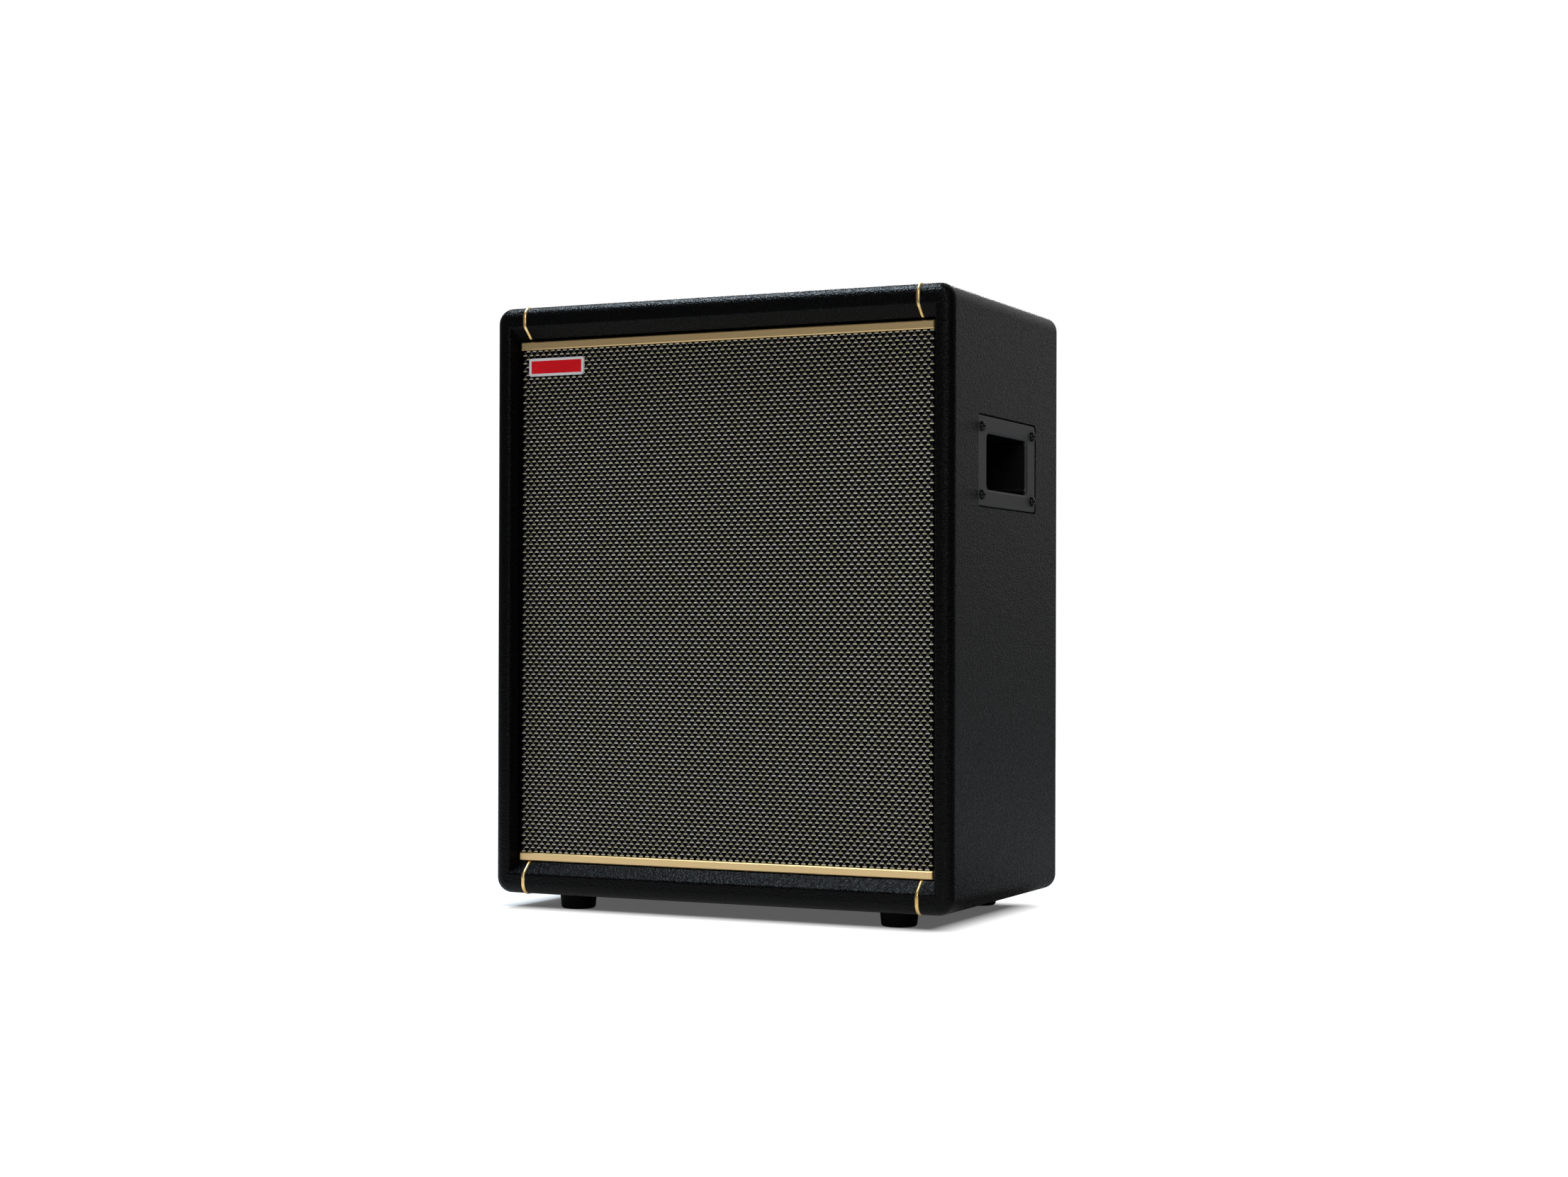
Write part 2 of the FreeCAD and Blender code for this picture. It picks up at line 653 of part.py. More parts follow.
# Driver: pressed basket bolted to the front of the baffle, ring magnet motor behind it
driver_bolts = []
bolt_r = DRIVER_D / 2 - DRIVER_BOLT_INSET
cutout_r = DRIVER_D / 2 - DRIVER_RIM
for i in range(DRIVER_BOLTS):
    angle = 2 * pi * (i + 0.5) / DRIVER_BOLTS
    driver_bolts.append(V(bolt_r * cos(angle), BAFFLE_Y - BASKET_SHEET, DRIVER_Z + bolt_r * sin(angle)))
driver_back = BAFFLE_Y - BASKET_SHEET
seat_y = BAFFLE_Y + BASKET_SEAT_DEPTH
shelf_y = BAFFLE_Y + BASKET_SHELF_DEPTH
wall_r = cutout_r - BASKET_CLEAR
shelf_r = BASKET_SHELF_D / 2
seat_r = BASKET_SEAT_D / 2
pole_r = COIL_D / 2 - COIL_WALL - COIL_GAP
gap_r = COIL_D / 2 + COIL_GAP
sheet = BASKET_SHEET
basket = turned([
    (wall_r, BAFFLE_Y - sheet), (DRIVER_D / 2, BAFFLE_Y - sheet), (DRIVER_D / 2, BAFFLE_Y),
    (wall_r + sheet, BAFFLE_Y), (shelf_r + sheet, shelf_y), (shelf_r + sheet, shelf_y + sheet),
    (seat_r + sheet, shelf_y + sheet), (seat_r + sheet, seat_y), (gap_r, seat_y),
    (gap_r, seat_y - sheet), (seat_r, seat_y - sheet), (seat_r, shelf_y), (shelf_r, shelf_y),
], 0, DRIVER_Z)
window_front = BAFFLE_Y + BASKET_WINDOW_INSET
window_depth = BASKET_SHELF_DEPTH - 2 * BASKET_WINDOW_INSET
window_half = pi / BASKET_WINDOWS - BASKET_RIB / (2 * wall_r)
for i in range(BASKET_WINDOWS):
    middle = 2 * pi * i / BASKET_WINDOWS
    corners = [V(0, window_front, DRIVER_Z)]
    for angle in (middle - window_half, middle + window_half):
        corners.append(V(DRIVER_D * cos(angle), window_front, DRIVER_Z + DRIVER_D * sin(angle)))
    wedge = Part.Face(Part.makePolygon(corners + corners[:1]))
    basket = basket.cut(wedge.extrude(V(0, window_depth, 0)))
basket = drilled(basket, driver_bolts, FORWARD)
save("driver_basket", basket)
save("driver_bolts", screws(driver_bolts, FORWARD))

lip_y = BAFFLE_Y - sheet - SURROUND
roll_end_r = wall_r
roll_mid_r = roll_end_r - SURROUND_ROLL_R
rim_r = roll_mid_r - SURROUND_ROLL_R
lip_out_r = roll_end_r + SURROUND_LIP
gasket_r = bolt_r - SCREW_HEAD_D / 2 - GASKET_CLEAR


def half_roll(radius, steps, backwards):
    """Points of the half round of the surround, from the cone's edge outwards."""
    angles = [pi * i / steps for i in range(steps + 1)]
    points = [(roll_mid_r - radius * cos(a), lip_y - radius * sin(a)) for a in angles]
    return points[::-1] if backwards else points


surround = turned(
    [(rim_r - CONE_RIM, lip_y + SURROUND), (rim_r - CONE_RIM, lip_y)]
    + half_roll(SURROUND_ROLL_R, ROLL_STEPS, False)
    + [(lip_out_r, lip_y), (lip_out_r, lip_y + SURROUND)]
    + [(roll_end_r - SURROUND, lip_y + SURROUND)]
    + half_roll(SURROUND_ROLL_R - SURROUND, ROLL_STEPS, True)
    + [(rim_r + SURROUND, lip_y + SURROUND)], 0, DRIVER_Z)
save("driver_surround", surround)
save("driver_gasket", ring(roll_end_r + GASKET_CLEAR, gasket_r, lip_y - GASKET, lip_y, 0, DRIVER_Z)
     .fuse(ring(lip_out_r + SCREW_CLEAR, gasket_r, lip_y, driver_back, 0, DRIVER_Z)).removeSplitter())

# Moving part of the driver: cone, dust cap and voice coil
neck_r = COIL_D / 2 + STUD_CLEAR
neck_y = BAFFLE_Y + CONE_NECK_DEPTH
rim_y = lip_y + SURROUND
cone = turned([
    (neck_r, neck_y), (rim_r - CONE_RIM, rim_y), (rim_r, rim_y), (rim_r, rim_y + CONE_SHEET),
    (rim_r - CONE_RIM, rim_y + CONE_SHEET), (neck_r + CONE_SHEET, neck_y + CONE_SHEET),
    (neck_r + CONE_SHEET, neck_y + CONE_COLLAR), (neck_r, neck_y + CONE_COLLAR),
], 0, DRIVER_Z)
save("driver_cone", cone)
cap_r = DUST_CAP_D / 2
cap_share = (cap_r - neck_r) / (rim_r - CONE_RIM - neck_r)
cap_y = neck_y + (rim_y - neck_y) * cap_share - SPIDER_CLEAR
cap_ball_r = (cap_r ** 2 + DUST_CAP_RISE ** 2) / (2 * DUST_CAP_RISE)
cap_centre = V(0, cap_y - DUST_CAP_RISE + cap_ball_r, DRIVER_Z)
cap_ball = Part.makeSphere(cap_ball_r, cap_centre).cut(Part.makeSphere(cap_ball_r - CONE_SHEET, cap_centre))
dust_cap = cap_ball.common(box(-far, far, cap_y - DUST_CAP_RISE - OVER, cap_y, -far, far))
save("driver_dust_cap", dust_cap)
coil_y = neck_y - CONE_SHEET
voice_coil = ring(COIL_D / 2 - COIL_WALL, COIL_D / 2, coil_y, coil_y + COIL_LENGTH, 0, DRIVER_Z)
save("driver_voice_coil", voice_coil)

# Spider: corrugated cloth disc from the coil to the shelf of the basket
spider_in = COIL_D / 2 + SPIDER_CLEAR
waves_out = seat_r - SPIDER_WAVE
steps = SPIDER_WAVES * SPIDER_STEPS
waves = []
for i in range(steps + 1):
    radius = spider_in + (waves_out - spider_in) * i / steps
    height = SPIDER_WAVE * sin(2 * pi * SPIDER_WAVES * i / steps)
    waves.append((radius, shelf_y - SPIDER - height))
waves.append((shelf_r - SPIDER_CLEAR, shelf_y - SPIDER))
spider = turned(waves + [(r, y + SPIDER) for r, y in waves[::-1]], 0, DRIVER_Z)
save("driver_spider", spider)

plate_y = seat_y
magnet_y = plate_y + TOP_PLATE
yoke_y = magnet_y + MAGNET
save("driver_top_plate", ring(gap_r, TOP_PLATE_D / 2, plate_y, magnet_y, 0, DRIVER_Z))
save("driver_magnet", ring(MAGNET_BORE_D / 2, MAGNET_D / 2, magnet_y, yoke_y, 0, DRIVER_Z))
back_plate = rod(TOP_PLATE_D / 2, yoke_y, yoke_y + BACK_PLATE, 0, DRIVER_Z)
save("driver_back_plate", back_plate.fuse(rod(pole_r, plate_y, yoke_y, 0, DRIVER_Z)).removeSplitter())

# Terminal strip on the back of the basket's shelf, with its lower end clear of the magnet
terminal_y = shelf_y + sheet
terminal_top = DRIVER_Z - seat_r - sheet - STUD_CLEAR
terminal_low = terminal_top - TERMINAL_HEIGHT
terminal_half = TERMINAL_WIDTH / 2
save("driver_terminal_strip", box(-terminal_half, terminal_half, terminal_y, terminal_y + TERMINAL_THICK,
                                  terminal_low, terminal_top))

# Tweeter: square horn plate with an exponential flare, compression driver screwed behind it
plate_front = BAFFLE_Y - TWEETER_PLATE_THICK
throat_y = plate_front + HORN_LENGTH
flare = []
for i in range(HORN_STEPS + 1):
    share = i / HORN_STEPS
    radius = HORN_MOUTH_D / 2 * (HORN_THROAT_D / HORN_MOUTH_D) ** share
    flare.append((radius, plate_front + HORN_LENGTH * share))
flare_back = [(radius + HORN_WALL, y) for radius, y in flare[::-1]]
horn_half = TWEETER_PLATE / 2
horn = rounded_plate(horn_half, horn_half, TWEETER_PLATE_R, plate_front, BAFFLE_Y, 0, TWEETER_Z)
mouth_start = [(0, plate_front - OVER), (flare[0][0], plate_front - OVER)]
mouth = turned(mouth_start + flare + [(0, throat_y)], 0, TWEETER_Z)
horn = horn.fuse(turned(flare + flare_back, 0, TWEETER_Z))
throat_r = HORN_THROAT_D / 2
horn = horn.fuse(ring(throat_r, throat_r + HORN_FLANGE, throat_y - HORN_WALL, throat_y, 0, TWEETER_Z))
horn = horn.cut(mouth)
tweeter_screws = []
for dx in (-TWEETER_SCREW_SPAN / 2, TWEETER_SCREW_SPAN / 2):
    for dz in (-TWEETER_SCREW_SPAN / 2, TWEETER_SCREW_SPAN / 2):
        tweeter_screws.append(V(dx, plate_front, TWEETER_Z + dz))
save("tweeter_horn", drilled(horn, tweeter_screws, FORWARD))
save("tweeter_screws", screws(tweeter_screws, FORWARD))
motor_back = throat_y + TWEETER_MOTOR
motor = rod(TWEETER_MOTOR_D / 2, throat_y, motor_back, 0, TWEETER_Z)
save("tweeter_compression_driver", motor.makeFillet(HORN_WALL, edges_at_y(motor, motor_back)))

# Baffle with the two cut-outs
baffle = box(-INNER_HALF, INNER_HALF, BAFFLE_Y, BAFFLE_BACK_Y, INNER_LOW, INNER_TOP)
baffle = baffle.cut(rod(cutout_r, BAFFLE_Y - OVER, BAFFLE_BACK_Y + OVER, 0, DRIVER_Z))
tweeter_hole_r = max(HORN_MOUTH_D / 2 + HORN_WALL, TWEETER_MOTOR_D / 2) + PANEL_CLEAR
baffle = baffle.cut(rod(tweeter_hole_r, BAFFLE_Y - OVER, BAFFLE_BACK_Y + OVER, 0, TWEETER_Z))
baffle = drilled(baffle, driver_bolts, FORWARD)
save("baffle_board", drilled(baffle, tweeter_screws, FORWARD))

# Grille: cloth stretched over a frame, gold bars and badge pinned through the cloth
frame_half = GRILLE_HALF - CLOTH
frame_low = GRILLE_LOW + CLOTH
frame_top = GRILLE_TOP - CLOTH
frame_y = CLOTH_Y + CLOTH
brace_low = DRIVER_Z + DRIVER_D / 2 + BRACE_CLEAR
brace_top = TWEETER_Z - TWEETER_PLATE / 2 - BRACE_CLEAR
grille_frame = box(-frame_half, frame_half, frame_y, GRILLE_BACK_Y, frame_low, frame_top)
window_y = (frame_y - OVER, GRILLE_BACK_Y + OVER)
for low, high in ((frame_low + GRILLE_STRIP, brace_low), (brace_top, frame_top - GRILLE_STRIP)):
    grille_frame = grille_frame.cut(box(-WINDOW_HALF, WINDOW_HALF, *window_y, low, high))
cloth = box(-GRILLE_HALF, GRILLE_HALF, CLOTH_Y, GRILLE_BACK_Y, GRILLE_LOW, GRILLE_TOP)
cloth = cloth.cut(box(-frame_half, frame_half, frame_y, GRILLE_BACK_Y + OVER, frame_low, frame_top))


def pinned(shape, x, z):
    """Adds a pin that runs back through the cloth into the frame."""
    return shape.fuse(rod(BAR_STUD_D / 2, CLOTH_Y, CLOTH_Y + BAR_STUD, x, z))


def pin_hole(x, z):
    return rod(BAR_STUD_D / 2 + STUD_CLEAR, CLOTH_Y - OVER, CLOTH_Y + BAR_STUD + STUD_CLEAR, x, z)


bar_half = GRILLE_HALF - BAR_END_INSET
bar_y = FRONT_Y + BAR_SETBACK
for bar_name, bar_low in (("top_trim_bar", GRILLE_TOP - BAR_HEIGHT), ("bottom_trim_bar", GRILLE_LOW)):
    bar = box(-bar_half, bar_half, bar_y, CLOTH_Y, bar_low, bar_low + BAR_HEIGHT)
    bar = bar.makeChamfer(BAR_BEVEL, edges_at_y(bar, bar_y))
    stud_z = bar_low + BAR_HEIGHT / 2
    for i in range(BAR_STUDS):
        stud_x = 2 * bar_half * ((i + 0.5) / BAR_STUDS - 0.5)
        bar = pinned(bar, stud_x, stud_z)
        cloth = cloth.cut(pin_hole(stud_x, stud_z))
        grille_frame = grille_frame.cut(pin_hole(stud_x, stud_z))
    save(bar_name, bar.removeSplitter())

badge_x = BADGE_FROM_LEFT - WIDTH / 2
badge_z = BOX_TOP - BADGE_FROM_TOP
badge_y = CLOTH_Y - BADGE_THICK
badge = rounded_plate(BADGE_WIDTH / 2, BADGE_HEIGHT / 2, BADGE_R, badge_y, CLOTH_Y, badge_x, badge_z)
field_half_x = BADGE_WIDTH / 2 - BADGE_RIM
field_half_z = BADGE_HEIGHT / 2 - BADGE_RIM
badge_field = rounded_plate(field_half_x, field_half_z, BADGE_R - BADGE_RIM / 2,
                            badge_y - OVER, badge_y + BADGE_RIM_RISE, badge_x, badge_z)
badge = badge.cut(badge_field)
for pin_x in (badge_x - BADGE_PIN_SPAN / 2, badge_x + BADGE_PIN_SPAN / 2):
    badge = pinned(badge, pin_x, badge_z)
    cloth = cloth.cut(pin_hole(pin_x, badge_z))
    grille_frame = grille_frame.cut(pin_hole(pin_x, badge_z))
save("badge_plate", badge.removeSplitter())
save("grille_frame", grille_frame)
save("grille_cloth", cloth)

# Hook-and-loop pads between the grille frame and the baffle
pads = []
pad_x = frame_half - GRILLE_STRIP / 2
for x in (-pad_x, pad_x):
    for z in (frame_low + PAD_LENGTH, (frame_low + frame_top) / 2, frame_top - PAD_LENGTH):
        pads.append(box(x - PAD_WIDTH / 2, x + PAD_WIDTH / 2, GRILLE_BACK_Y, BAFFLE_Y,
                        z - PAD_LENGTH / 2, z + PAD_LENGTH / 2))
save("grille_pads", Part.makeCompound(pads))

# Bass port: flanged tube in the back panel
port_end = PANEL_BACK_Y + PORT_FLANGE
bore_r = PORT_BORE_D / 2
port = ring(bore_r, PORT_FLANGE_D / 2, PANEL_BACK_Y, port_end, 0, PORT_Z)
port = port.fuse(ring(bore_r, bore_r + PORT_WALL, PANEL_BACK_Y - PORT_LENGTH, PANEL_BACK_Y, 0, PORT_Z))
port = port.removeSplitter()
flare_edges = [e for e in edges_at_y(port, port_end) if e.BoundBox.XLength < PORT_BORE_D + PORT_WALL]
port = port.makeFillet(PORT_FLARE_R, flare_edges)
save("port_tube", port)

# Amplifier tray: folded steel, let into the back panel, with the controls on its floor
tray_half_x = TRAY_WIDTH / 2
tray_half_z = TRAY_HEIGHT / 2
well_half_x = tray_half_x - TRAY_LIP
well_half_z = tray_half_z - TRAY_LIP
lip_back_y = PANEL_BACK_Y + TRAY_SHEET
tray = rounded_plate(tray_half_x, tray_half_z, TRAY_CORNER_R, PANEL_BACK_Y, lip_back_y, 0, TRAY_Z)
wall_x = well_half_x + TRAY_SHEET
wall_z = well_half_z + TRAY_SHEET
tray = tray.fuse(box(-wall_x, wall_x, TRAY_BACK_Y, PANEL_BACK_Y, TRAY_Z - wall_z, TRAY_Z + wall_z))
tray = tray.cut(box(-well_half_x, well_half_x, TRAY_FACE_Y, lip_back_y + OVER,
                    TRAY_Z - well_half_z, TRAY_Z + well_half_z)).removeSplitter()
tray_screws = []
for dx in (TRAY_LIP / 2 - tray_half_x, 0.0, tray_half_x - TRAY_LIP / 2):
    for dz in (TRAY_LIP / 2 - tray_half_z, tray_half_z - TRAY_LIP / 2):
        tray_screws.append(V(dx, lip_back_y, TRAY_Z + dz))
tray = drilled(tray, tray_screws, BACKWARD, TRAY_SCREW_LENGTH)
save("amp_tray_screws", screws(tray_screws, BACKWARD, TRAY_SCREW_LENGTH))

inlet_x, switch_x, level_x, link_x, input_x = [CONTROL_PITCH * (i - 2) for i in range(5)]


def floor_cutout(shape, half_x, half_z, x):
    """Rectangular hole in the tray's floor, with clearance round the piece that fills it."""
    half_x += CUTOUT_CLEAR
    half_z += CUTOUT_CLEAR
    return shape.cut(box(x - half_x, x + half_x, TRAY_BACK_Y - OVER, TRAY_FACE_Y + OVER,
                         TRAY_Z - half_z, TRAY_Z + half_z))


def floor_hole(shape, radius, x):
    return shape.cut(rod(radius + CUTOUT_CLEAR, TRAY_BACK_Y - OVER, TRAY_FACE_Y + OVER, x, TRAY_Z))


def hexagon(across, y0, y1, x):
    corners = []
    for i in range(6):
        angle = pi * i / 3
        reach = across / sqrt(3)
        corners.append(V(x + reach * cos(angle), y0, TRAY_Z + reach * sin(angle)))
    return Part.Face(Part.makePolygon(corners + corners[:1])).extrude(V(0, y1 - y0, 0))


# Mains inlet: shrouded recess with three blades
inlet_half_x = INLET_RECESS_WIDTH / 2
inlet_half_z = INLET_RECESS_HEIGHT / 2
inlet_out = TRAY_FACE_Y + INLET_BEZEL
inlet_floor = inlet_out - INLET_RECESS
inlet = rounded_plate(INLET_WIDTH / 2, INLET_HEIGHT / 2, INLET_BEZEL,
                      TRAY_FACE_Y, inlet_out, inlet_x, TRAY_Z)
inlet = inlet.fuse(box(inlet_x - inlet_half_x - INLET_WALL, inlet_x + inlet_half_x + INLET_WALL,
                       inlet_floor - INLET_WALL, TRAY_FACE_Y,
                       TRAY_Z - inlet_half_z - INLET_WALL, TRAY_Z + inlet_half_z + INLET_WALL))
inlet = inlet.cut(box(inlet_x - inlet_half_x, inlet_x + inlet_half_x, inlet_floor, inlet_out + OVER,
                      TRAY_Z - inlet_half_z, TRAY_Z + inlet_half_z))
for step, rise in ((-1, -BLADE_HEIGHT), (0, BLADE_HEIGHT / 2), (1, -BLADE_HEIGHT)):
    blade_x = inlet_x + step * BLADE_PITCH
    inlet = inlet.fuse(box(blade_x - BLADE_WIDTH / 2, blade_x + BLADE_WIDTH / 2,
                           inlet_floor, inlet_floor + BLADE_LENGTH,
                           TRAY_Z + rise, TRAY_Z + rise + BLADE_HEIGHT))
save("mains_inlet", inlet.removeSplitter())
tray = floor_cutout(tray, inlet_half_x + INLET_WALL, inlet_half_z + INLET_WALL, inlet_x)

# Power switch: snap-in housing and a rocker on trunnions, at rest in the off position
switch_out = TRAY_FACE_Y + SWITCH_BEZEL
body_half_x = SWITCH_BEZEL_WIDTH / 2 - SWITCH_SHOULDER
body_half_z = SWITCH_BEZEL_HEIGHT / 2 - SWITCH_SHOULDER
well_x = body_half_x - SWITCH_WALL
well_z = body_half_z - SWITCH_WALL
switch = rounded_plate(SWITCH_BEZEL_WIDTH / 2, SWITCH_BEZEL_HEIGHT / 2, SWITCH_SHOULDER,
                       TRAY_FACE_Y, switch_out, switch_x, TRAY_Z)
switch = switch.fuse(box(switch_x - body_half_x, switch_x + body_half_x,
                         switch_out - SWITCH_DEPTH, TRAY_FACE_Y,
                         TRAY_Z - body_half_z, TRAY_Z + body_half_z))
switch = switch.cut(box(switch_x - well_x, switch_x + well_x, switch_out - SWITCH_DEPTH + SWITCH_WALL,
                        switch_out + OVER, TRAY_Z - well_z, TRAY_Z + well_z))
pivot = V(switch_x, switch_out - PIVOT_DEPTH, TRAY_Z)


def trunnion(radius, half_length):
    return Part.makeCylinder(radius, 2 * half_length, pivot - V(half_length, 0, 0), RIGHT)


switch = switch.cut(trunnion(TRUNNION_D / 2 + SHAFT_FIT, body_half_x + OVER))
save("power_switch_housing", switch.removeSplitter())
tray = floor_cutout(tray, body_half_x, body_half_z, switch_x)

throw = ROCKER_THROW * pi / 180
rocker_half_z = (well_z - ROCKER_CLEAR - ROCKER_RISE * sin(throw)) / cos(throw)
rocker_half_x = well_x - ROCKER_CLEAR
profile = [(-rocker_half_z, ROCKER_RISE), (0, ROCKER_RISE - ROCKER_DIP), (rocker_half_z, ROCKER_RISE),
           (rocker_half_z - ROCKER_DIP, 0), (TRUNNION_D, -TRUNNION_D), (-TRUNNION_D, -TRUNNION_D),
           (ROCKER_DIP - rocker_half_z, 0)]
corners = [pivot + V(-rocker_half_x, rise, reach) for reach, rise in profile]
rocker = Part.Face(Part.makePolygon(corners + corners[:1])).extrude(V(2 * rocker_half_x, 0, 0))
rocker = rocker.fuse(trunnion(TRUNNION_D / 2, well_x + SWITCH_WALL - SHAFT_FIT)).removeSplitter()
rocker.rotate(pivot, RIGHT, -ROCKER_THROW)
save("power_rocker", rocker)

# Level control: potentiometer behind the floor, shaft through its bush, fluted knob
pot_back = TRAY_BACK_Y - POT_LENGTH
bush_end = TRAY_FACE_Y + BUSH_LENGTH
knob_y = TRAY_FACE_Y + NUT + KNOB_GAP
knob_end = knob_y + KNOB_HEIGHT
shaft_back = pot_back + NUT
shaft_end = knob_end - KNOB_BORE_ROOF - SHAFT_FIT
bush_bore = rod(SHAFT_D / 2 + SHAFT_FIT, shaft_back - SHAFT_FIT, bush_end + OVER, level_x, TRAY_Z)
pot = rod(POT_D / 2, pot_back, TRAY_BACK_Y, level_x, TRAY_Z)
pot = pot.fuse(rod(BUSH_D / 2, TRAY_BACK_Y, bush_end, level_x, TRAY_Z)).cut(bush_bore).removeSplitter()
nut = hexagon(NUT_ACROSS, TRAY_FACE_Y, TRAY_FACE_Y + NUT, level_x)
nut = nut.cut(rod(BUSH_D / 2 + SHAFT_FIT, TRAY_FACE_Y - OVER, bush_end, level_x, TRAY_Z))
save("level_potentiometer", Part.makeCompound([pot, nut]))
save("level_shaft", rod(SHAFT_D / 2, shaft_back, shaft_end, level_x, TRAY_Z))
knob = rod(KNOB_D / 2, knob_y, knob_end, level_x, TRAY_Z)
knob = knob.makeFillet(KNOB_GAP, edges_at_y(knob, knob_end))
for i in range(KNOB_FLUTES):
    angle = 2 * pi * (i + 0.5) / KNOB_FLUTES
    reach = KNOB_D / 2 + KNOB_FLUTE_D / 4
    knob = knob.cut(rod(KNOB_FLUTE_D / 2, knob_y + KNOB_SKIRT, knob_end + OVER,
                        level_x + reach * cos(angle), TRAY_Z + reach * sin(angle)))
knob = knob.cut(rod(BUSH_D / 2 + KNOB_GAP, knob_y - OVER, bush_end + KNOB_GAP, level_x, TRAY_Z))
knob = knob.cut(rod(SHAFT_D / 2 + SHAFT_FIT, knob_y - OVER, knob_end - KNOB_BORE_ROOF, level_x, TRAY_Z))
knob = knob.cut(box(level_x - KNOB_MARK / 2, level_x + KNOB_MARK / 2,
                    knob_end - KNOB_MARK / 2, knob_end + OVER,
                    TRAY_Z + KNOB_MARK_START, TRAY_Z + KNOB_D))
save("level_knob", knob)
tray = floor_hole(tray, BUSH_D / 2, level_x)

# Link socket: jack with a nut on its bush
link_half = LINK_BODY / 2
link_out = TRAY_FACE_Y + BUSH_LENGTH
link = box(link_x - link_half, link_x + link_half, TRAY_BACK_Y - SOCKET_BARREL, TRAY_BACK_Y,
           TRAY_Z - link_half, TRAY_Z + link_half)
link = link.fuse(rod(LINK_BUSH_D / 2, TRAY_BACK_Y, link_out, link_x, TRAY_Z))
link = link.cut(rod(JACK_D / 2, link_out - JACK_DEPTH, link_out + OVER, link_x, TRAY_Z)).removeSplitter()
link_nut = hexagon(LINK_NUT_ACROSS, TRAY_FACE_Y, TRAY_FACE_Y + NUT, link_x)
link_nut = link_nut.cut(rod(LINK_BUSH_D / 2 + SHAFT_FIT, TRAY_FACE_Y - OVER, link_out, link_x, TRAY_Z))
save("link_socket", Part.makeCompound([link, link_nut]))
tray = floor_hole(tray, LINK_BUSH_D / 2, link_x)

# Input socket: square plate, round barrel, jack hole in the middle of three contacts
input_out = TRAY_FACE_Y + SOCKET_PLATE
socket = rounded_plate(SOCKET_PLATE_WIDTH / 2, SOCKET_PLATE_HEIGHT / 2, SOCKET_PLATE_R,
                       TRAY_FACE_Y, input_out, input_x, TRAY_Z)
socket = socket.fuse(rod(SOCKET_BARREL_D / 2, TRAY_FACE_Y - SOCKET_BARREL, TRAY_FACE_Y, input_x, TRAY_Z))
socket = socket.cut(rod(JACK_D / 2, input_out - JACK_DEPTH, input_out + OVER, input_x, TRAY_Z))
for i in range(CONTACTS):
    angle = 2 * pi * i / CONTACTS + pi / 2
    reach = CONTACT_RING_D / 2
    socket = socket.cut(rod(CONTACT_D / 2, input_out - CONTACT_DEPTH, input_out + OVER,
                            input_x + reach * cos(angle), TRAY_Z + reach * sin(angle)))
save("input_socket", socket.removeSplitter())
tray = floor_hole(tray, SOCKET_BARREL_D / 2, input_x)
save("amp_tray", tray)

# Amplifier housing: folded box over the back of the tray, circuit board on its standoffs, capacitors
housing = box(-well_half_x, well_half_x, HOUSING_Y, TRAY_BACK_Y, TRAY_Z - well_half_z, TRAY_Z + well_half_z)
inner_x = well_half_x - TRAY_SHEET
inner_z = well_half_z - TRAY_SHEET
board_y = HOUSING_Y + TRAY_SHEET + BOARD_STANDOFF
housing = housing.cut(box(-inner_x, inner_x, HOUSING_Y + TRAY_SHEET, TRAY_BACK_Y + OVER,
                          TRAY_Z - inner_z, TRAY_Z + inner_z))
save("amp_housing", housing)
board_half_x = inner_x - CIRCUIT_MARGIN
board_half_z = inner_z - CIRCUIT_MARGIN
board_back = board_y + CIRCUIT_BOARD
circuit_board = box(-board_half_x, board_half_x, board_y, board_back,
                    TRAY_Z - board_half_z, TRAY_Z + board_half_z)
for x in (STANDOFF_D - board_half_x, board_half_x - STANDOFF_D):
    for dz in (STANDOFF_D - board_half_z, board_half_z - STANDOFF_D):
        standoff = rod(STANDOFF_D / 2, HOUSING_Y + TRAY_SHEET, board_y, x, TRAY_Z + dz)
        circuit_board = circuit_board.fuse(standoff)
save("amp_circuit_board", circuit_board)
capacitors = []
for i in range(CAPACITORS):
    x = CAPACITOR_PITCH * (i - (CAPACITORS - 1) / 2)
    z = TRAY_Z + board_half_z - CAPACITOR_D / 2
    capacitor = rod(CAPACITOR_D / 2, board_back, board_back + CAPACITOR_LENGTH, x, z)
    capacitors.append(capacitor.makeFillet(KNOB_GAP, edges_at_y(capacitor, board_back + CAPACITOR_LENGTH)))
save("amp_capacitors", Part.makeCompound(capacitors))

# Back panel screwed to its cleats, with holes for the tray and the port
panel_half = INNER_HALF - PANEL_CLEAR
panel_low = INNER_LOW + PANEL_CLEAR
panel_top = INNER_TOP - PANEL_CLEAR
panel = box(-panel_half, panel_half, PANEL_FRONT_Y, PANEL_BACK_Y, panel_low, panel_top)
hole_x = wall_x + PANEL_CLEAR
hole_z = wall_z + PANEL_CLEAR
through_y = (PANEL_FRONT_Y - OVER, PANEL_BACK_Y + OVER)
panel = panel.cut(box(-hole_x, hole_x, *through_y, TRAY_Z - hole_z, TRAY_Z + hole_z))
panel = panel.cut(rod(bore_r + PORT_WALL + PANEL_CLEAR, *through_y, 0, PORT_Z))
edge_x = INNER_HALF - CLEAT / 2
panel_screws = []
for z in (INNER_LOW + CLEAT / 2, MID_Z, INNER_TOP - CLEAT / 2):
    for x in (-edge_x, 0.0, edge_x):
        if (x, z) != (0.0, MID_Z):
            panel_screws.append(V(x, PANEL_BACK_Y, z))
panel = drilled(panel, panel_screws, BACKWARD, PANEL_SCREW_LENGTH)
save("back_panel", drilled(panel, tray_screws, BACKWARD, TRAY_SCREW_LENGTH))
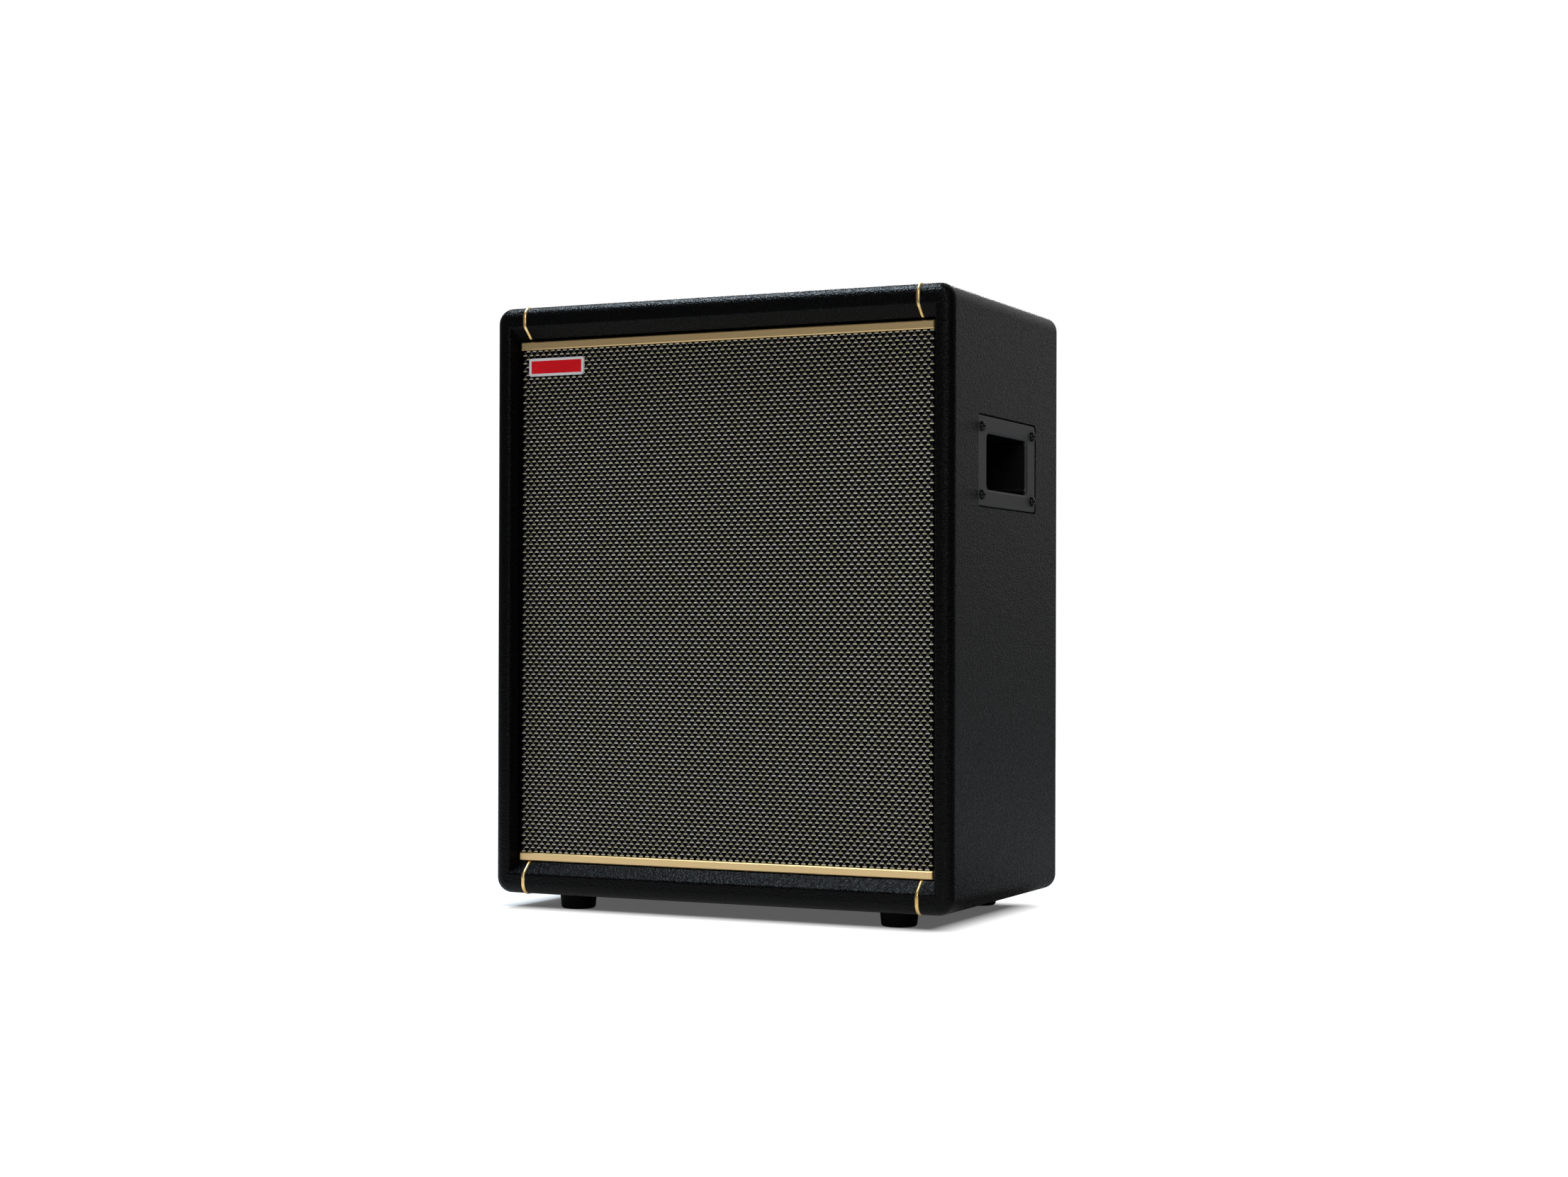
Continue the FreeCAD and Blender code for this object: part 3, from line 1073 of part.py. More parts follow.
save("back_panel_screws", screws(panel_screws, BACKWARD, PANEL_SCREW_LENGTH))
back_cleats = cleats(CLEATS_BACK_Y, PANEL_FRONT_Y)
save("back_cleats", drilled(back_cleats, panel_screws, BACKWARD, PANEL_SCREW_LENGTH))

# Speaker leads: a pair to the driver's terminals and a pair round the magnet to the tweeter
strip_back = terminal_y + TERMINAL_THICK
strip_z = terminal_low + TERMINAL_INSET
sag_z = min(TRAY_Z, strip_z) - LEAD_SAG
driver_route = [
    V(0, HOUSING_Y, TRAY_Z),
    V(0, HOUSING_Y - LEAD_STRAIGHT, TRAY_Z),
    V(0, HOUSING_Y - 2 * LEAD_STRAIGHT, sag_z),
    V(0, strip_back + 2 * LEAD_STRAIGHT, sag_z),
    V(0, strip_back + LEAD_STRAIGHT, strip_z),
    V(0, strip_back, strip_z),
]
side_run = MAGNET_D / 2 + LEAD_SIDE_GAP
tweeter_route = [
    V(LEAD_TWEETER_X, HOUSING_Y, TRAY_Z + LEAD_TWEETER_RISE),
    V(LEAD_TWEETER_X, HOUSING_Y - LEAD_STRAIGHT, TRAY_Z + LEAD_TWEETER_RISE),
    V(side_run, HOUSING_Y - 2 * LEAD_STRAIGHT, DRIVER_Z),
    V(side_run, HOUSING_Y - 2 * LEAD_STRAIGHT, TWEETER_Z - 3 * LEAD_STRAIGHT),
    V(side_run / 2, motor_back + 3 * LEAD_STRAIGHT, TWEETER_Z - LEAD_STRAIGHT),
    V(0, motor_back + LEAD_STRAIGHT, TWEETER_Z),
    V(0, motor_back, TWEETER_Z),
]
leads = []
for route in (driver_route, tweeter_route):
    for dx in (-LEAD_GAP / 2, LEAD_GAP / 2):
        points = [point + V(dx, 0, 0) for point in route]
        leads.append(tube(points, [LEAD_BEND_R] * (len(route) - 2), LEAD_D / 2))
save("speaker_leads", Part.makeCompound(leads))
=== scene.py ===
"""Guitar speaker cabinet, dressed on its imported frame.

Lengths are in metres, and the front looks along -Y.
"""
import json
import math

import bpy
from mathutils import Euler, Matrix, Vector

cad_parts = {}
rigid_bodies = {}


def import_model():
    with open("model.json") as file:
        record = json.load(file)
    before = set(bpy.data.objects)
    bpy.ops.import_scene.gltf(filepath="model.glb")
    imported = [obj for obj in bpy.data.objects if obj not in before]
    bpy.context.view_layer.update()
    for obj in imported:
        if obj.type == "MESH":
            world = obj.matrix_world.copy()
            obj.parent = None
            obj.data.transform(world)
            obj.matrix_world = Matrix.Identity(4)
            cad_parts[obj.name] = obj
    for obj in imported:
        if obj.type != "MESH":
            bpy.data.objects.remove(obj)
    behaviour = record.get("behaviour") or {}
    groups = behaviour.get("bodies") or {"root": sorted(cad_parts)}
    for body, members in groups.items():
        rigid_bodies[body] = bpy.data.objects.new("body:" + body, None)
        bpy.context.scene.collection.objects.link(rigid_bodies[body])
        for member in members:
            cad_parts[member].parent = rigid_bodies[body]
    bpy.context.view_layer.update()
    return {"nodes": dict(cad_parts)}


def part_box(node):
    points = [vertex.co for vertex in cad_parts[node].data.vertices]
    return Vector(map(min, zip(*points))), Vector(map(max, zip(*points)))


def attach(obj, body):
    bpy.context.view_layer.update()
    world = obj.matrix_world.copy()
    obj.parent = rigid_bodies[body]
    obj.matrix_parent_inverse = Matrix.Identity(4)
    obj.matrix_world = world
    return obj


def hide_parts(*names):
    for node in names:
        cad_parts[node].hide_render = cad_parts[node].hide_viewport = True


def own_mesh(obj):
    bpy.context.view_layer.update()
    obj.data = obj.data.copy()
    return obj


for leftover in list(bpy.data.objects):
    bpy.data.objects.remove(leftover)
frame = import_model()
bpy.ops.object.select_all(action="DESELECT")


# Boards, front rails and cleats: birch plywood, sawn, sanded and glued into a box whose front edge
# is deepened by two strips. It is stained black round the handles and in the rebate of the back panel.
def new_finish(name, **even):
    """A material, with its tree, its shader and its Object coordinates.

    even holds the values that are the same all over.
    """
    material = bpy.data.materials.new(name)
    material.use_nodes = True
    tree = material.node_tree
    shader = tree.nodes["Principled BSDF"]
    for socket, value in even.items():
        shader.inputs[socket.replace("_", " ")].default_value = value
    place = tree.nodes.new("ShaderNodeTexCoord").outputs["Object"]
    return material, tree, shader, place


def add(tree, kind, settings=(), **inputs):
    """One shader node. An input that is a socket is linked, and any other is set as a value."""
    node = tree.nodes.new("ShaderNode" + kind)
    for setting, value in dict(settings).items():
        setattr(node, setting, value)
    for name, value in inputs.items():
        socket = node.inputs[int(name[1:]) if name[0] == "_" else name.replace("_", " ")]
        if isinstance(value, bpy.types.NodeSocket):
            tree.links.new(value, socket)
        else:
            socket.default_value = value
    return node


def calc(tree, operation, first, second=0.0):
    """A Math node's result."""
    return add(tree, "Math", {"operation": operation}, _0=first, _1=second).outputs[0]


def ramp(tree, mask, *stops):
    """The colour of a mask between (position, colour) stops."""
    node = add(tree, "ValToRGB", Fac=mask)
    band = node.color_ramp.elements
    while len(band) < len(stops):
        band.new(1.0)
    for element, (position, colour) in zip(band, stops):
        element.position = position
        element.color = (*colour, 1.0)
    return node.outputs["Color"]


def mixed(tree, mask, under, over):
    """One colour, and another where the mask is 1."""
    return add(tree, "Mix", {"data_type": "RGBA"}, Factor=mask, _6=under, _7=over).outputs[2]


def span(tree, mask, low, high, start=0.0, end=1.0):
    """A mask from start to end, spread between two values."""
    inputs = {"Value": mask, "From_Min": start, "From_Max": end, "To_Min": low, "To_Max": high}
    return add(tree, "MapRange", **inputs).outputs["Result"]


def give_look(tree, shader, colour, roughness):
    """Gives the shader its colour and its roughness."""
    tree.links.new(colour, shader.inputs["Base Color"])
    tree.links.new(roughness, shader.inputs["Roughness"])


def relief(tree, shader, height, depth):
    """A bump of a depth in metres on the shader's normal."""
    bump = add(tree, "Bump", Height=height, Distance=depth, Strength=1.0)
    tree.links.new(bump.outputs["Normal"], shader.inputs["Normal"])


def dress(material, *names):
    """Gives CAD nodes their finish."""
    for name in names:
        for slot in frame["nodes"][name].material_slots:
            slot.material = material


FIBRE_SCALE = (14.0, 160.0, 160.0)
# The stain fades in between these two places, outwards and towards the back
SIDE_STAIN = 0.1965, 0.1975
REBATE_STAIN = 0.1045, 0.1055
plywood, tree, shader, place = new_finish("plywood", Specular_IOR_Level=0.3)
drawn_out = add(tree, "Mapping", Vector=place, Scale=FIBRE_SCALE).outputs["Vector"]
fibre = add(tree, "TexNoise", Vector=drawn_out, Scale=1.0, Detail=5.0, Distortion=0.6).outputs["Fac"]
wood = ramp(tree, fibre, (0.3, (0.42, 0.28, 0.16)), (0.5, (0.61, 0.45, 0.28)), (0.72, (0.68, 0.53, 0.36)))
axes = add(tree, "SeparateXYZ", Vector=place).outputs
outside = span(tree, calc(tree, "ABSOLUTE", axes["X"]), 0.0, 1.0, *SIDE_STAIN)
rebate = span(tree, axes["Y"], 0.0, 1.0, *REBATE_STAIN)
stain = (0.006, 0.006, 0.006, 1.0)
wood = mixed(tree, calc(tree, "MAXIMUM", outside, rebate), wood, stain)
give_look(tree, shader, wood, span(tree, fibre, 0.5, 0.7))
relief(tree, shader, fibre, 0.0002)
boards = ("top_board", "bottom_board", "left_side_board", "right_side_board")
dress(plywood, *boards, "top_front_rail", "bottom_front_rail", "baffle_cleats", "back_cleats")


# Covering: black leatherette, a vinyl skin on woven backing, pressed with a slanting pebble grain.
# It is glued over the boards in four pieces that meet at the piping and drawn tight round the nose.
GRAIN_LEAN = (math.radians(58.0), math.radians(-16.0), 0.0)
GRAIN_STRETCH = (1.0, 1.0, 0.68)
PEBBLE_SCALE = 920.0
PEBBLE_HEIGHT = 1.1
CREASE_SCALE = 600.0
GRAIN_DEEP = 0.00028
leatherette, tree, shader, place = new_finish("leatherette", Specular_IOR_Level=0.07)
leaning = add(tree, "Mapping", Vector=place, Rotation=GRAIN_LEAN).outputs["Vector"]
stretched = add(tree, "Mapping", Vector=leaning, Scale=GRAIN_STRETCH).outputs["Vector"]
smooth_cells = {"feature": "SMOOTH_F1"}
pebble = add(tree, "TexVoronoi", smooth_cells, Vector=stretched, Scale=PEBBLE_SCALE, Smoothness=0.3)
pebble = calc(tree, "MULTIPLY", pebble.outputs["Distance"], PEBBLE_HEIGHT)
crease = add(tree, "TexNoise", Vector=stretched, Scale=CREASE_SCALE, Detail=2.0, Roughness=0.5)
crease = crease.outputs["Fac"]
height = calc(tree, "SUBTRACT", crease, pebble)

# Where it is gathered round the front corners it puckers in fine lines towards each corner
BOX_MIDDLE_Z = 0.25765
PUCKERS_UP = 4300.0
PUCKERS_ASIDE = 2000.0
PUCKER_WAVER = 9.0
PUCKER_HEIGHT = 0.16
FADE_ASIDE = 0.1775, 0.1815
FADE_UP = 0.214, 0.224
FADE_BACK = -0.114, -0.106
axes = add(tree, "SeparateXYZ", Vector=place).outputs
aside = calc(tree, "ABSOLUTE", axes["X"])
above = calc(tree, "ABSOLUTE", calc(tree, "SUBTRACT", axes["Z"], BOX_MIDDLE_Z))
upwards = calc(tree, "MULTIPLY", above, PUCKERS_UP)
across = calc(tree, "SUBTRACT", upwards, calc(tree, "MULTIPLY", aside, PUCKERS_ASIDE))
pucker = calc(tree, "SINE", calc(tree, "ADD", across, calc(tree, "MULTIPLY", crease, PUCKER_WAVER)))
near = span(tree, aside, 0.0, 1.0, *FADE_ASIDE)
near = calc(tree, "MULTIPLY", near, span(tree, above, 0.0, 1.0, *FADE_UP))
near = calc(tree, "MULTIPLY", near, span(tree, axes["Y"], PUCKER_HEIGHT, 0.0, *FADE_BACK))
height = calc(tree, "ADD", height, calc(tree, "MULTIPLY", near, pucker))
tint = ramp(tree, crease, (0.35, (0.0007, 0.0007, 0.0009)), (0.7, (0.0024, 0.0024, 0.0028)))
give_look(tree, shader, tint, span(tree, crease, 0.22, 0.34, 0.3, 0.7))
relief(tree, shader, height, GRAIN_DEEP)
dress(leatherette, "left_covering", "right_covering", "top_covering", "bottom_covering")


# Piping: a gold metallised plastic bead on a cord core, laid in the seams of the covering
# where they cross the nose of the top and bottom rails.
def patch_and_grain():
    """The group for soft patches and fine grain, which most finishes share."""
    group = bpy.data.node_groups.new("patch_and_grain", "ShaderNodeTree")
    group.interface.new_socket("Vector", in_out="INPUT", socket_type="NodeSocketVector")
    for name in ("Patch Scale", "Grain Scale"):
        group.interface.new_socket(name, in_out="INPUT", socket_type="NodeSocketFloat")
    for name in ("Patch", "Grain"):
        group.interface.new_socket(name, in_out="OUTPUT", socket_type="NodeSocketFloat")
    given = group.nodes.new("NodeGroupInput").outputs
    result = group.nodes.new("NodeGroupOutput").inputs
    patch = add(group, "TexNoise", Vector=given["Vector"], Scale=given["Patch Scale"], Detail=3.0)
    grain = add(group, "TexNoise", Vector=given["Vector"], Scale=given["Grain Scale"], Detail=2.0)
    group.links.new(patch.outputs["Fac"], result["Patch"])
    group.links.new(grain.outputs["Fac"], result["Grain"])
    return group


mottle = patch_and_grain()


def mottled(name, dark, light, patches, grains, depth, rough, **even):
    """A finish whose colour drifts between two shades in patches, with a fine grain in its surface."""
    material, tree, shader, place = new_finish(name, **even)
    inputs = {"Vector": place, "Patch_Scale": patches, "Grain_Scale": grains}
    surface = add(tree, "Group", {"node_tree": mottle}, **inputs).outputs
    tint = ramp(tree, surface["Patch"], (0.35, dark), (0.65, light))
    give_look(tree, shader, tint, span(tree, surface["Grain"], *rough, 0.3, 0.7))
    relief(tree, shader, surface["Grain"], depth)
    return material


gold = (0.60, 0.40, 0.15), (0.78, 0.56, 0.26)
gold_piping = mottled(
    "gold_piping", *gold, patches=60.0, grains=1200.0, depth=0.00002, rough=(0.30, 0.38), Metallic=1.0)
dress(gold_piping, "gold_piping")


# Handle cups: black ABS, with a fine etched texture on the flat flange and a polished deep cup. Each drops
# into a hole in the side board and is held by four black cross-head screws.
# The polished cup, near black partly as painted shade in its recess, ends and the textured grey flange
# starts between these two places
FLANGE_FADE = 0.2026, 0.2044
handle_plastic, tree, shader, place = new_finish("handle_plastic")
etch_scales = {"Patch_Scale": 60.0, "Grain_Scale": 2200.0}
etch = add(tree, "Group", {"node_tree": mottle}, Vector=place, **etch_scales).outputs
out = calc(tree, "ABSOLUTE", add(tree, "SeparateXYZ", Vector=place).outputs["X"])
flange = span(tree, out, 0.0, 1.0, *FLANGE_FADE)
# The cup's colour is near black, partly its polished black plastic and partly painted shade in the recess
dark = ramp(tree, etch["Patch"], (0.35, (0.0004, 0.0004, 0.0005)), (0.65, (0.0008, 0.0008, 0.0009)))
grey = ramp(tree, etch["Grain"], (0.30, (0.020, 0.020, 0.021)), (0.70, (0.045, 0.045, 0.046)))
polish = calc(tree, "ADD", span(tree, flange, 0.20, 0.42), calc(tree, "MULTIPLY", etch["Grain"], 0.12))
give_look(tree, shader, mixed(tree, flange, dark, grey), polish)
relief(tree, shader, etch["Grain"], 0.00006)
dress(handle_plastic, "left_handle_cup", "right_handle_cup")
oxide = (0.0015, 0.0015, 0.0015), (0.0040, 0.0040, 0.0040)
black_screw = mottled(
    "black_screw", *oxide, patches=400.0, grains=3000.0,
    depth=0.00002, rough=(0.16, 0.28), Specular_IOR_Level=0.25)
dress(black_screw, "handle_screws", "back_panel_screws", "driver_bolts")
dress(black_screw, "tweeter_screws", "amp_tray_screws")


# Feet: four slightly tapered pads of moulded black rubber under the corners of the bottom board.
# Each is held by a zinc plated screw set deep in its middle, so that the metal never meets the floor.
rubber = (0.0008, 0.0008, 0.0008), (0.0025, 0.0025, 0.0025)
foot_rubber = mottled(
    "foot_rubber", *rubber, patches=90.0, grains=1800.0,
    depth=0.00010, rough=(0.48, 0.66), Specular_IOR_Level=0.05)
dress(foot_rubber, "front_left_foot", "front_right_foot", "rear_left_foot", "rear_right_foot")
zinc = (0.50, 0.50, 0.48), (0.66, 0.66, 0.64)
zinc_screw = mottled(
    "zinc_screw", *zinc, patches=300.0, grains=2500.0, depth=0.00004, rough=(0.30, 0.45), Metallic=1.0)
dress(zinc_screw, "foot_screws")


# Baffle, grille frame and back panel: cut from board and sprayed with a matt black paint that dries
# with fine dimples. The baffle and the back panel are fixed to cleats, and the grille frame pulls off.
paint = (0.013, 0.013, 0.013), (0.018, 0.018, 0.018)
black_board = mottled(
    "black_board", *paint, patches=260.0, grains=900.0,
    depth=0.00022, rough=(0.42, 0.62), Specular_IOR_Level=0.35)
dress(black_board, "baffle_board", "grille_frame", "back_panel")


# Ten inch driver: a pressed steel basket in textured black paint, a cork gasket, a ferrite ring between
# plated steel plates, a paper cone with its dust cap, and a copper coil on cloth suspensions.
coat = (0.018, 0.018, 0.019), (0.026, 0.026, 0.028)
black_steel = mottled("black_steel", *coat, patches=420.0, grains=1600.0, depth=0.00016, rough=(0.40, 0.58))
dress(black_steel, "driver_basket")
cork = (0.13, 0.08, 0.045), (0.30, 0.21, 0.12)
gasket_cork = mottled(
    "gasket_cork", *cork, patches=700.0, grains=1800.0,
    depth=0.00025, rough=(0.70, 0.90), Specular_IOR_Level=0.2)
dress(gasket_cork, "driver_gasket")
ceramic = (0.055, 0.055, 0.060), (0.105, 0.105, 0.110)
ferrite = mottled("ferrite", *ceramic, patches=150.0, grains=2200.0, depth=0.00010, rough=(0.45, 0.62))
dress(ferrite, "driver_magnet")
plating = (0.46, 0.46, 0.44), (0.60, 0.60, 0.57)
plated_steel = mottled(
    "plated_steel", *plating, patches=70.0, grains=1400.0,
    depth=0.00005, rough=(0.28, 0.42), Metallic=1.0)
dress(plated_steel, "driver_top_plate", "driver_back_plate")
fibreglass = (0.018, 0.10, 0.038), (0.035, 0.17, 0.065)
circuit_board = mottled(
    "circuit_board", *fibreglass, patches=260.0, grains=2400.0, depth=0.00005, rough=(0.26, 0.40))
dress(circuit_board, "driver_terminal_strip")
resin_cloth = (0.038, 0.030, 0.020), (0.075, 0.062, 0.042)
treated_cloth = mottled(
    "treated_cloth", *resin_cloth, patches=500.0, grains=2600.0, depth=0.00015, rough=(0.42, 0.60))


def only(piece):
    """Makes one piece the only one that operators act on."""
    bpy.ops.object.select_all(action="DESELECT")
    piece.select_set(True)
    bpy.context.view_layer.objects.active = piece


def apply_modifier(piece, kind, **settings):
    """Adds one modifier with its settings and applies it."""
    modifier = piece.modifiers.new(kind.lower(), kind)
    for setting, value in settings.items():
        setattr(modifier, setting, value)
    bpy.ops.object.modifier_apply(modifier=modifier.name)


def finish_piece(piece, material, body, smooth=None, replaced=()):
    """Leaves edit mode, shades the piece, gives it its finish and hangs it on its body."""
    bpy.ops.object.mode_set(mode="OBJECT")
    only(piece)
    if smooth:
        bpy.ops.object.shade_smooth_by_angle(angle=math.radians(smooth))
    if material:
        piece.data.materials.append(material)
    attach(piece, body)
    if replaced:
        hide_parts(*replaced)
    return piece


RING_POINTS = 96


def moulded_ring(node, rings, thick):
    """A round of moulded cloth in a node's place, drawn outwards through rings of a radius and a y."""
    low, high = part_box(node)
    radius, y = rings[0]
    middle = ((low.x + high.x) / 2, y, (low.z + high.z) / 2)
    bpy.ops.object.select_all(action="DESELECT")
    upright = (math.pi / 2, 0.0, 0.0)
    bpy.ops.mesh.primitive_circle_add(
        vertices=RING_POINTS, radius=radius, location=middle, rotation=upright)
    bpy.ops.object.transform_apply(location=True, rotation=True, scale=True)
    ring = bpy.context.object
    ring.name = ring.data.name = node + "_cloth"
    bpy.ops.object.mode_set(mode="EDIT")
    bpy.ops.mesh.select_all(action="SELECT")
    for next_radius, next_y in rings[1:]:
        bpy.ops.mesh.extrude_edges_move(TRANSFORM_OT_translate={"value": (0.0, next_y - y, 0.0)})
        grow = next_radius / radius
        bpy.ops.transform.resize(value=(grow, 1.0, grow))
        radius, y = next_radius, next_y
    bpy.ops.mesh.select_all(action="SELECT")
    bpy.ops.mesh.normals_make_consistent(inside=False)
    bpy.ops.object.mode_set(mode="OBJECT")
    apply_modifier(ring, "SOLIDIFY", thickness=thick, offset=0.0)
    return finish_piece(ring, treated_cloth, "cabinet", smooth=50.0, replaced=[node])


SURROUND_SHEET = 0.0008
ROLL_R = 0.0038
ROLL_STEPS = 16
ROLL_EASE = 0.0003
CONE_LAP = 0.0034
BASKET_LAP = 0.0040
LAP_CLEAR = 0.0001
low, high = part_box("driver_surround")
lip_y = high.y - SURROUND_SHEET / 2
roll_end = (high.x - low.x) / 2 - BASKET_LAP
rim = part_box("driver_cone")[1].x
roll_middle = (rim + roll_end) / 2
rings = [(rim - CONE_LAP, lip_y), (roll_middle - ROLL_R - ROLL_EASE, lip_y)]
for step in range(1, ROLL_STEPS):
    turn = math.pi * step / ROLL_STEPS
    rings.append((roll_middle - ROLL_R * math.cos(turn), lip_y - ROLL_R * math.sin(turn)))
rings += [(roll_middle + ROLL_R + ROLL_EASE, lip_y), (roll_end + BASKET_LAP - LAP_CLEAR, lip_y)]
moulded_ring("driver_surround", rings, SURROUND_SHEET)

SPIDER_SHEET = 0.0007
SPIDER_WAVE = 0.0015
SPIDER_WAVES = 4
SPIDER_STEPS = 40
SPIDER_LAP = 0.0055
COIL_CLEAR = 0.0004
low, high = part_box("driver_spider")
spider_y = (low.y + high.y) / 2
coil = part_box("driver_voice_coil")[1].x + COIL_CLEAR
edge = (high.x - low.x) / 2
rings = []
for step in range(SPIDER_STEPS + 1):
    share = step / SPIDER_STEPS
    wave = SPIDER_WAVE * math.sin(2 * math.pi * SPIDER_WAVES * share)
    rings.append((coil + (edge - SPIDER_LAP - coil) * share, spider_y - wave))
rings.append((edge, spider_y))
spider = moulded_ring("driver_spider", rings, SPIDER_SHEET)
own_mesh(spider)

winding = (0.42, 0.17, 0.07), (0.66, 0.31, 0.15)
copper_wire = mottled(
    "copper_wire", *winding, patches=300.0, grains=3000.0,
    depth=0.00008, rough=(0.22, 0.34), Metallic=1.0)
dress(copper_wire, "driver_voice_coil")

DRIVER_Z = 0.21065
cone_paper, tree, shader, place = new_finish("cone_paper", Specular_IOR_Level=0.25)
centred = add(tree, "Mapping", Vector=place, Location=(0.0, 0.0, -DRIVER_Z)).outputs["Vector"]
pulp = add(tree, "TexNoise", Vector=centred, Scale=900.0, Detail=4.0, Roughness=0.7).outputs["Fac"]
round_cone = {"wave_type": "RINGS", "rings_direction": "Y"}
ribs = add(tree, "TexWave", round_cone, Vector=centred, Scale=28.0, Distortion=0.4, Detail=1.0)
ribs = calc(tree, "MULTIPLY", ribs.outputs["Fac"], 1.6)
tint = ramp(tree, pulp, (0.3, (0.022, 0.021, 0.020)), (0.7, (0.060, 0.056, 0.050)))
give_look(tree, shader, tint, span(tree, pulp, 0.72, 0.9))
relief(tree, shader, calc(tree, "ADD", pulp, ribs), 0.00025)
dress(cone_paper, "driver_cone", "driver_dust_cap")


# Horn tweeter: a horn plate moulded in black plastic, screwed to the baffle above the driver. Its sealed
# compression driver, a painted steel can, is screwed on behind it.
satin_black = (0.009, 0.009, 0.010), (0.015, 0.015, 0.016)
moulded_black = mottled(
    "moulded_black", *satin_black, patches=60.0, grains=2600.0, depth=0.00006, rough=(0.34, 0.46))
dress(moulded_black, "tweeter_horn")
dress(black_steel, "tweeter_compression_driver")


# Grille pads: short strips of black hook-and-loop tape, a nylon pile on a backing with glue.
# They are stuck to the baffle, where the grille frame is pressed on and pulled off.
pile = (0.012, 0.012, 0.012), (0.040, 0.040, 0.040)
hook_and_loop = mottled(
    "hook_and_loop", *pile, patches=1400.0, grains=2600.0,
    depth=0.00060, rough=(0.80, 0.95), Sheen_Weight=0.3)
dress(hook_and_loop, "grille_pads")


# Grille cloth: a woven sheet of black yarn, stretched over the frame, turned round its edges and
# stapled behind. Pale metallised floats and grey warp ends stand up from it in staggered rows.
def choose(piece, kind, test):
    """In edit mode, selects only the faces or edges that pass a test of their place and direction."""
    bpy.ops.mesh.select_mode(type=kind)
    bpy.ops.mesh.select_all(action="DESELECT")
    bpy.ops.object.mode_set(mode="OBJECT")
    if kind == "FACE":
        for face in piece.data.polygons:
            face.select = test(face.center, face.normal)
    else:
        corners = piece.data.vertices
        for edge in piece.data.edges:
            start, end = (corners[corner].co for corner in edge.vertices)
            edge.select = test((start + end) / 2, (end - start).normalized())
    bpy.ops.object.mode_set(mode="EDIT")


def block(name, low, high):
    """A block between two corners, left in edit mode with its place in its mesh."""
    low, high = Vector(low), Vector(high)
    bpy.ops.object.select_all(action="DESELECT")
    bpy.ops.mesh.primitive_cube_add(size=1.0, location=(low + high) / 2, scale=high - low)
    bpy.ops.object.transform_apply(location=True, rotation=True, scale=True)
    piece = bpy.context.object
    piece.name = piece.data.name = name
    bpy.ops.object.mode_set(mode="EDIT")
    return piece


# A face looks along an axis, or an edge runs along it, from this cosine on
FACING = 0.9
CLOTH_TURN = 0.0008
CLOTH_THICK = 0.0006
FRONT_TOLERANCE = 0.0001
low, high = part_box("grille_cloth")
cloth_sheet = block("grille_cloth_sheet", low, high)
choose(cloth_sheet, "FACE", lambda middle, normal: normal.y > FACING)
bpy.ops.mesh.delete(type="FACE")
choose(cloth_sheet, "EDGE", lambda middle, along: middle.y < low.y + FRONT_TOLERANCE)
bpy.ops.mesh.bevel(offset=CLOTH_TURN, segments=3, affect="EDGES")
bpy.ops.object.mode_set(mode="OBJECT")
apply_modifier(cloth_sheet, "SOLIDIFY", thickness=CLOTH_THICK, offset=-1.0)
black_yarn, tree, shader, place = new_finish("black_yarn", Specular_IOR_Level=0.02)
yarn = add(tree, "TexNoise", Vector=place, Scale=1600.0, Detail=2.0).outputs["Fac"]
tint = ramp(tree, yarn, (0.3, (0.0005, 0.0005, 0.0005)), (0.7, (0.0016, 0.0016, 0.0016)))
give_look(tree, shader, tint, span(tree, yarn, 0.6, 0.8))
relief(tree, shader, yarn, 0.0003)
finish_piece(cloth_sheet, black_yarn, "grille", smooth=40.0, replaced=["grille_cloth"])

FLOAT_PITCH = 0.00587
ROW_PITCH = 0.00329
FLOAT_LONG = 0.0037
FLOAT_TALL = 0.0012
FLOAT_PROUD = 0.00045
FLOAT_CROWN = (0.86, 0.5)
STRAND_WIDE = 0.0019
STRAND_TALL = 0.0027
STRAND_PROUD = 0.00025
STRAND_CROWN = (0.6, 0.8)
END_CORNER = 0.00036
END_SUNK = 0.0001
FIRST_ROW_UP = 0.001
bar_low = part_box("bottom_trim_bar")[1].z
bar_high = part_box("top_trim_bar")[0].z
flat_wide = high.x - low.x - 2 * CLOTH_TURN
floats_across = int((flat_wide - FLOAT_LONG + FLOAT_PITCH / 2) / FLOAT_PITCH)
row_pairs = round((bar_high - bar_low) / ROW_PITCH / 2)
first_x = (low.x + high.x) / 2 - (floats_across - 0.5) / 2 * FLOAT_PITCH
first_z = bar_low + FIRST_ROW_UP
badge_low, badge_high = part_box("badge_plate")


def calc_vector(tree, operation, first, second=(0.0, 0.0, 0.0), result="Vector"):
    """A Vector Math node's result."""
    return add(tree, "VectorMath", {"operation": operation}, _0=first, _1=second).outputs[result]


